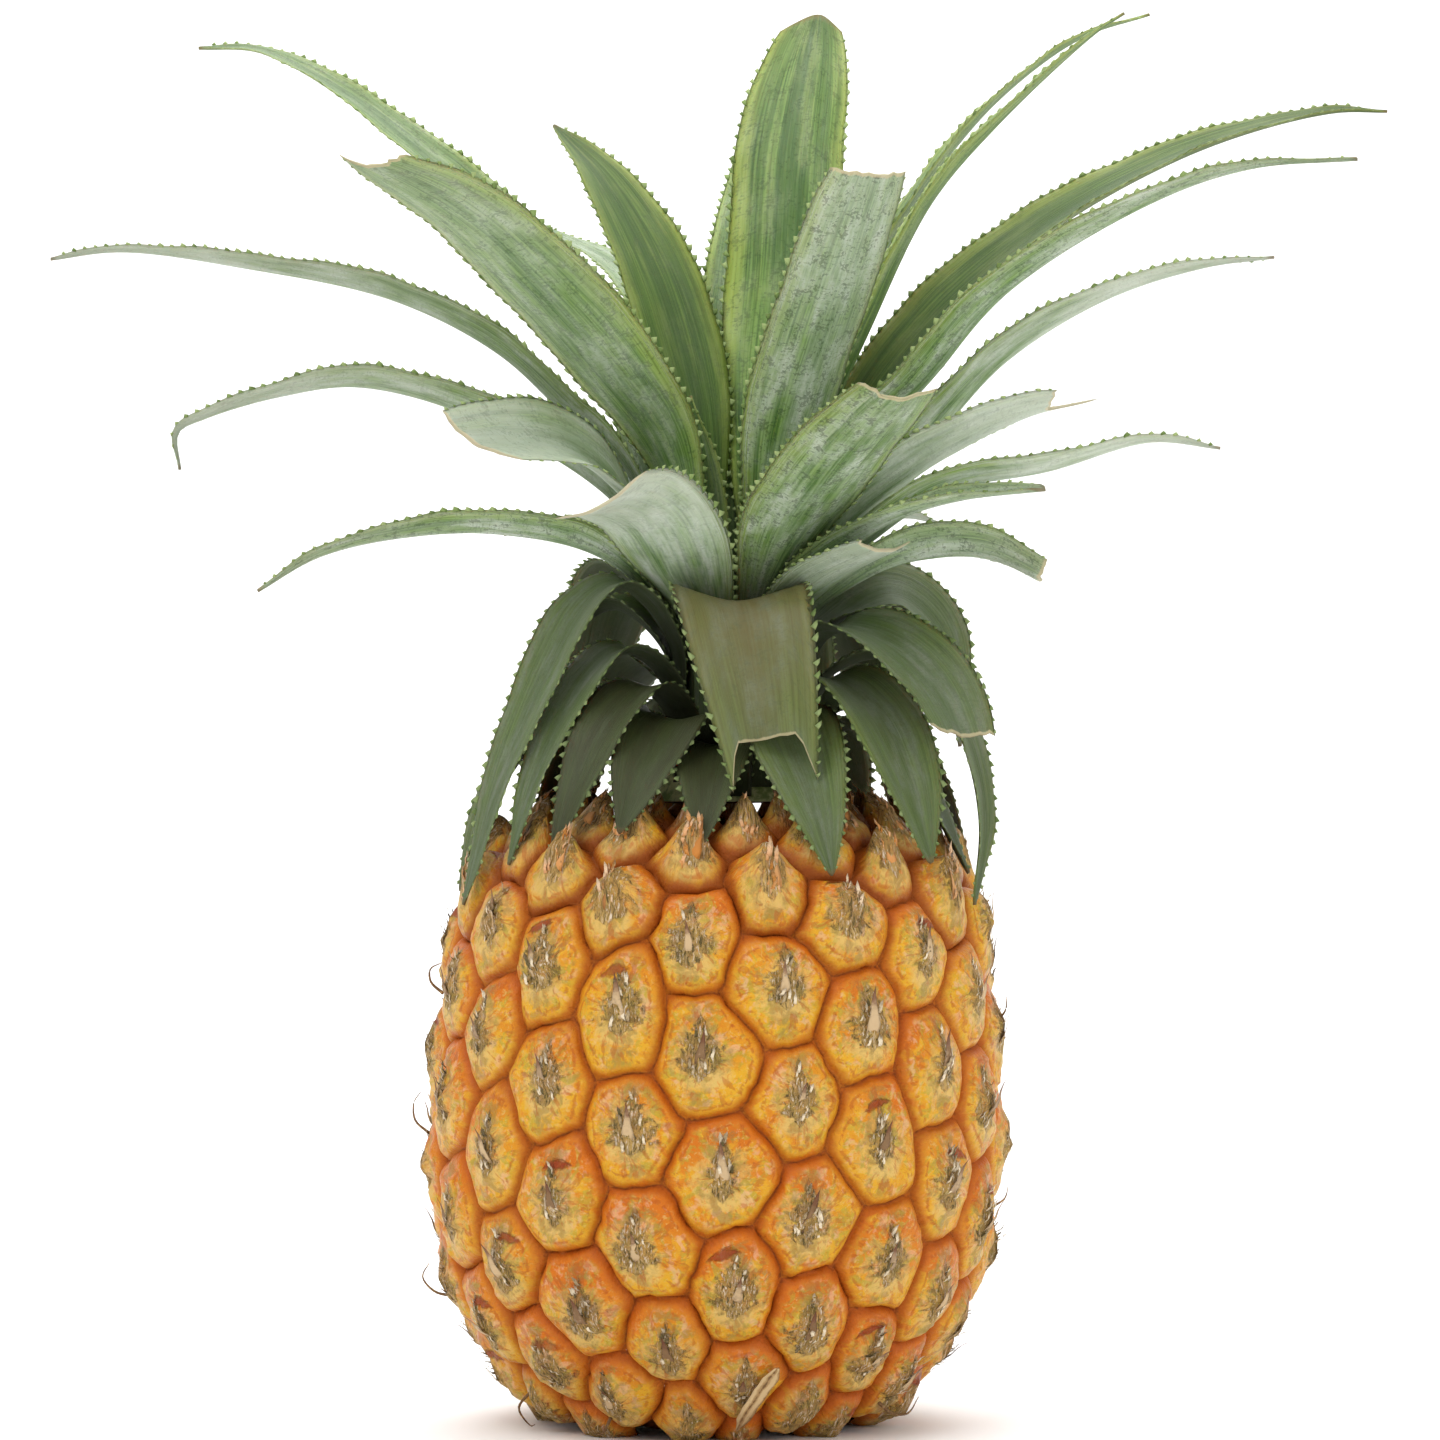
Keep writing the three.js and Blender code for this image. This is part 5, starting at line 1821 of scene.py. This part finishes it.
@dataclass(frozen=True)
class DryFinish:
    """A dry papery finish.

    Attributes:
        name: what it is called.
        light: the paler tone.
        middle: the common tone.
        dark: the darker tone.
        tip: towards the tip.
        tip_share: how strongly the tip takes that tone.
        marked: the tone of the ones under the crown, and on the spines the painted shade of shaded leaves and
            of the leaf bases.
    """

    name: str
    light: Colour
    middle: Colour
    dark: Colour
    tip: Colour
    tip_share: float
    marked: Colour = (206, 128, 44)

    def build(self) -> Material:
        """Makes the material.

        Returns:
            The finish.
        """
        make = Finish(self.name, self.middle)
        tone, tip, marked = make.attributes("tone", "tip", "marked")
        place = make.place()
        grain = make.cloud(place, 1100, 3, 0.6)
        make.paint((tone + (grain - 0.5) * 0.6).step(0.35, 0.6), self.light)
        make.paint((tone + (grain - 0.5) * 0.8).step(0.3, 0.12), self.dark)
        # The tone under the crown, and on the spines painted shade.
        make.paint(marked * (1.0 - tip * 0.5) * 0.8, self.marked)
        ends = (tip + (grain - 0.5) * 0.5).step(0.45, 0.95) * self.tip_share
        make.paint(ends * (1.0 - marked * 0.6), self.tip)
        return make.close(0.75, grain, depth=0.12)


WITHERED = DryFinish("withered", (228, 212, 182), (170, 148, 112), (96, 84, 48), (132, 104, 80), 0.45)
BRACT_TIP = DryFinish("bract_tip", (196, 168, 128), (158, 132, 102), (128, 98, 66), (104, 62, 40), 0.95)
PAPERY = DryFinish("papery", (206, 178, 132), (172, 138, 92), (112, 82, 50), (138, 104, 66), 0.5)
# The spines' marked tone is painted shade.
SPINE = DryFinish(
    "spine", (152, 170, 110), (128, 150, 86), (104, 126, 66), (156, 152, 104), 0.4, (72, 84, 48)
)


@dataclass(frozen=True)
class Fibre:
    """A loose dry fibre, by points of turn, height and lift off the skin.

    Attributes:
        way: turn in degrees, height and lift in millimetres of each point.
        radius: its radius at the foot.
    """

    way: tuple[Triple, ...]
    radius: float = 0.28


@dataclass
class Fibres:
    """The loose dry fibres that hang from the eyes.

    Attributes:
        fibres: the ones at given places.
        sides: points around each.
        lowest: how far their middle lines stay over the floor.
    """

    fibres: tuple[Fibre, ...] = (
        Fibre(((-172, 86, 0.5), (-173, 88, 3.2), (-173, 90.5, 3.6), (-172, 92, 1.6)), 0.4),
        Fibre(((-176, 58, 0.5), (-177, 60.5, 3.4), (-178, 64, 3.8), (-178, 66, 2.6)), 0.35),
        Fibre(((-172, 26, 0.5), (-174, 28, 4.0), (-176, 31, 5.4), (-177, 33, 3.4)), 0.4),
        Fibre(((-150, 9, 0.4), (-156, 7, 3.5), (-160, 3.5, 5.0), (-163, 1.2, 8.5)), 0.36),
        Fibre(((-122, 5, 0.6), (-128, 2.6, 2.0), (-134, 1.6, 3.0), (-139, 1.2, 3.2)), 0.36),
        Fibre(((-36, 7, 0.5), (-31, 6.2, 3.0), (-26, 6.8, 4.4), (-23, 9, 3.6)), 0.4),
        Fibre(((-12, 44, 0.5), (-11, 46, 2.6), (-11, 48.5, 3.0)), 0.3),
        Fibre(((-8, 80, 0.5), (-7, 82.5, 2.8), (-7, 85.5, 3.2)), 0.3),
    )
    sides: int = 6
    lowest: float = 0.8

    def build(self, surface: SkinSurface, material: Material) -> None:
        """Makes the fibres as one piece.

        Args:
            surface: the skin that they stand on.
            material: their finish.
        """
        sheet = Sheet()
        for fibre in self.fibres:
            turn, height, lift = (np.asarray(column, float) for column in zip(*fibre.way))
            distance = np.asarray([surface.distance(h) for h in height])
            points = surface.at(turn, distance, lift)
            points[:, 2] = np.maximum(points[:, 2], self.lowest)
            self.tube(sheet, Curve3(points), fibre.radius)
        sheet.on_points = {"tone": [0.14] * len(sheet.points)}
        hand_in(sheet.to_object("loose_fibres", [material]), "dry_stalk")

    def tube(self, sheet: Sheet, curve: Curve3, radius: float) -> None:
        """Adds a tapering tube along a curve.

        Args:
            sheet: where it goes.
            curve: its middle line.
            radius: its radius at the foot.
        """
        share = np.linspace(0, 1, 16)
        at, along = curve.at(share), curve.along(share)
        start = len(sheet.points)
        aside = unit(np.cross(along, np.tile([0.3, 0.1, 1.0], (len(share), 1))))
        other = np.cross(along, aside)
        for row, where in enumerate(share):
            wide = radius * (1 - 0.8 * where)
            for i in range(self.sides):
                angle = 2 * math.pi * i / self.sides
                around = aside[row] * math.cos(angle) + other[row] * math.sin(angle)
                sheet.points.append(at[row] + wide * around)
        sheet.walls(start, len(share), self.sides)
        last = start + (len(share) - 1) * self.sides
        sheet.faces.append([start + i for i in range(self.sides)][::-1])
        sheet.faces.append([last + i for i in range(self.sides)])


@dataclass
class FootStrip:
    """The dry strip of bract at the foot of the fruit, in place of its solid.

    Attributes:
        top: turn, height and half width of its upper end.
        end: the same of its lower end.
        lift: how far it stands off the skin.
        curl: how much further its middle stands.
        thickness: its thickness.
        rows: sections along it.
        across: steps across it.
    """

    top: Triple = (-75.5, 17.0, 1.8)
    end: Triple = (-83.5, 4.6, 1.2)
    lift: float = 1.9
    curl: float = 0.8
    thickness: float = 0.7
    rows: int = 30
    across: int = 6

    def build(self, surface: SkinSurface, material: Material) -> None:
        """Makes the strip.

        Args:
            surface: the skin that it lies along.
            material: its finish.
        """
        sheet = Sheet()
        around = 2 * (self.across + 1)
        tips, tones = [], []
        for share in np.linspace(0, 1, self.rows):
            turn = blend(self.top[0], self.end[0], share)
            distance = surface.distance(blend(self.top[1], self.end[1], share))
            half = blend(self.top[2], self.end[2], share)
            half *= min(1.0, 0.25 + 5 * share, 0.1 + 5 * (1 - share))
            ragged = 0.25 * noise.noise(Vector((share * 9, 1.5, 0.5)))
            for outer in (0, 1):
                steps = np.linspace(-1, 1, self.across + 1)
                steps = steps if outer else steps[::-1]
                for step in steps:
                    aside = math.degrees((step * half + ragged) / surface.radius(distance))
                    pleat = 0.18 * math.cos(step * 7 + share * 6)
                    lift = self.lift + self.curl * math.sin(math.pi * share) + pleat
                    lift += self.thickness * outer * (1 - 0.6 * abs(step))
                    spot = [np.asarray([v], float) for v in (turn + aside, distance, lift)]
                    sheet.points.append(surface.at(*spot)[0].tolist())
                    tips.append(float(share))
                    tones.append(0.5 + 0.4 * math.sin(step * 5))
        sheet.walls(0, self.rows, around)
        sheet.faces.append(list(range(around))[::-1])
        sheet.faces.append([(self.rows - 1) * around + i for i in range(around)])
        sheet.on_points = {"tip": tips, "tone": tones}
        hand_in(sheet.to_object("foot_strip", [material]), "dry_stalk", "basal_bract")


@dataclass(frozen=True)
class GrainFinish:
    """A finish of two tones, mixed by a fine grain and by broad patches.

    Attributes:
        name: what it is called.
        pale: the body.
        dark: its pores or streaks.
        grain: repeats of the grain in a metre, its octaves and how rough it is.
        shares: strengths of the grain and of the patches.
        levels: between which the dark tone comes in.
        matt: how matt it is.
    """

    name: str
    pale: Colour
    dark: Colour
    grain: Triple
    shares: Pair
    levels: Pair
    matt: float

    def build(self) -> Material:
        """Makes the material.

        Returns:
            The finish.
        """
        make = Finish(self.name, self.pale)
        place = make.place()
        grain, patches = make.cloud(place, *self.grain), make.cloud(place, 160, 3)
        make.paint((grain * self.shares[0] + patches * self.shares[1]).step(*self.levels), self.dark)
        return make.close(self.matt, grain)


DRY_STALK = GrainFinish(
    "dry_stalk_wood", (190, 164, 116), (112, 84, 50), (1500, 3, 0.7), (0.7, 0.4), (0.5, 0.66), 0.85
)
CROWN_STEM = GrainFinish(
    "crown_stem_green", (196, 196, 140), (120, 136, 70), (300, 4, 0.6), (1.0, 0.0), (0.42, 0.62), 0.6
)


# ---- Studio ----


@dataclass(frozen=True)
class Lamp:
    """A square soft light.

    Attributes:
        name: its name.
        place: where it hangs, in metres.
        size: its side in metres.
        power: in watts.
        target: where it points, in metres.
    """

    name: str
    place: Triple
    size: float
    power: float
    target: Triple = (0.0, 0.0, 0.12)

    def hang(self) -> None:
        """Adds the light to the scene."""
        light = bpy.data.lights.new(self.name, "AREA")
        light.size = self.size
        light.energy = self.power
        made = show(self.name, light)
        made.location = self.place
        aim = Vector(self.target) - Vector(self.place)
        made.rotation_euler = aim.to_track_quat("-Z", "Y").to_euler()


@dataclass
class Studio:
    """Floor, backdrop, lights and camera.

    Attributes:
        distance: how far in front the camera stands, in metres.
        middle: where it points, across and up, in metres.
        lens: focal length in millimetres.
        sensor: width of the picture behind it, in millimetres.
        ambient: strength of the light from all round.
        lamps: the lights.
        reach: how far the floor goes to each side and to the front, and the wall up, in metres.
        bend: radius of the curve from the floor to the wall.
        behind: how far behind the middle that curve starts.
        paper: colour of the floor and the wall.
    """

    distance: float = 1.2
    middle: Pair = (0.0012, 0.1404)
    lens: float = 150.0
    sensor: float = 36.0
    ambient: float = 0.62
    lamps: tuple[Lamp, ...] = (
        Lamp("key_light", (-0.7, -1.0, 1.5), 1.2, 14.2),
        Lamp("fill_light", (1.3, -1.1, 0.7), 1.4, 6.8),
        Lamp("top_light", (0.1, 0.5, 1.5), 1.2, 10.0),
        Lamp("wall_light", (0.0, 0.7, 2.2), 2.4, 40.0, (0.0, 2.0, 0.9)),
    )
    reach: float = 4.0
    bend: float = 0.8
    behind: float = 1.2
    paper: Colour = (246, 246, 246)

    def build(self) -> None:
        """Makes the studio."""
        self.cove()
        for lamp in self.lamps:
            lamp.hang()
        world = bpy.data.worlds.new("studio")
        world.use_nodes = True
        sky = world.node_tree.nodes["Background"].inputs
        sky["Color"].default_value = (1.0, 1.0, 1.0, 1.0)
        sky["Strength"].default_value = self.ambient
        scene = bpy.context.scene
        scene.world = world
        scene.view_settings.view_transform = "Standard"
        camera = bpy.data.cameras.new("view")
        camera.lens = self.lens
        camera.sensor_width = self.sensor
        made = show("view", camera)
        made.location = (self.middle[0], -self.distance, self.middle[1])
        made.rotation_euler = (math.pi / 2, 0.0, 0.0)
        scene.camera = made

    def cove(self) -> None:
        """A pale floor that curves up behind."""
        turns = np.linspace(0.1, math.pi / 2, 14)
        bend = self.bend
        curved = [(self.behind + bend * math.sin(a), bend - bend * math.cos(a)) for a in turns]
        profile = [(-self.reach, 0.0), (self.behind, 0.0), *curved, (self.behind + self.bend, self.reach)]
        points = [(x, y, z) for y, z in profile for x in (-self.reach, self.reach)]
        faces = [(2 * i, 2 * i + 1, 2 * i + 3, 2 * i + 2) for i in range(len(profile) - 1)]
        mesh = bpy.data.meshes.new("cove")
        mesh.from_pydata(points, [], faces)
        mesh.polygons.foreach_set("use_smooth", [True] * len(faces))
        mesh.materials.append(Finish("pale_paper", self.paper).close(0.9))
        show("cove", mesh)


# ---- Assembly ----


def hand_in(piece: Object, slot: str, *nodes: str) -> None:
    """Ties a piece to the body and hides the solids that it stands for.

    Args:
        piece: the finished piece.
        slot: not used.
        nodes: names of the solids that are no longer shown.
    """
    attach(piece, ROOT)
    if nodes:
        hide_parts(*nodes)
    piece.data.calc_loop_triangles()
    log.info("%s: %d triangles", piece.name, len(piece.data.loop_triangles))


def keep(node: str, material: Material) -> None:
    """Gives a solid that stays in sight a better finish.

    Args:
        node: its name.
        material: the finish.
    """
    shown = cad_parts[node]
    shown.data.materials.clear()
    shown.data.materials.append(material)
    log.info("%s kept", node)


def main() -> None:
    """Builds the pineapple and its studio."""
    logging.basicConfig(level=logging.INFO, format="%(message)s")
    skin = FruitSkin()
    surface = skin.build(EyeFinish().build())
    hand_in(surface, "fruit_skin", "fruit")
    remains = {"withered_flowers": WITHERED.build(), "bract_tips": BRACT_TIP.build()}
    FlowerRemains().build(skin, surface, remains)
    papery = PAPERY.build()
    FootStrip().build(skin.surface, papery)
    Fibres().build(skin.surface, papery)
    crown = Crown()
    crown.build(LeafFinish().build())
    MarginSpines().build(crown, SPINE.build())
    keep("stalk_stub", DRY_STALK.build())
    keep("crown_stem", CROWN_STEM.build())
    Studio().build()


if __name__ == "__main__":
    main()
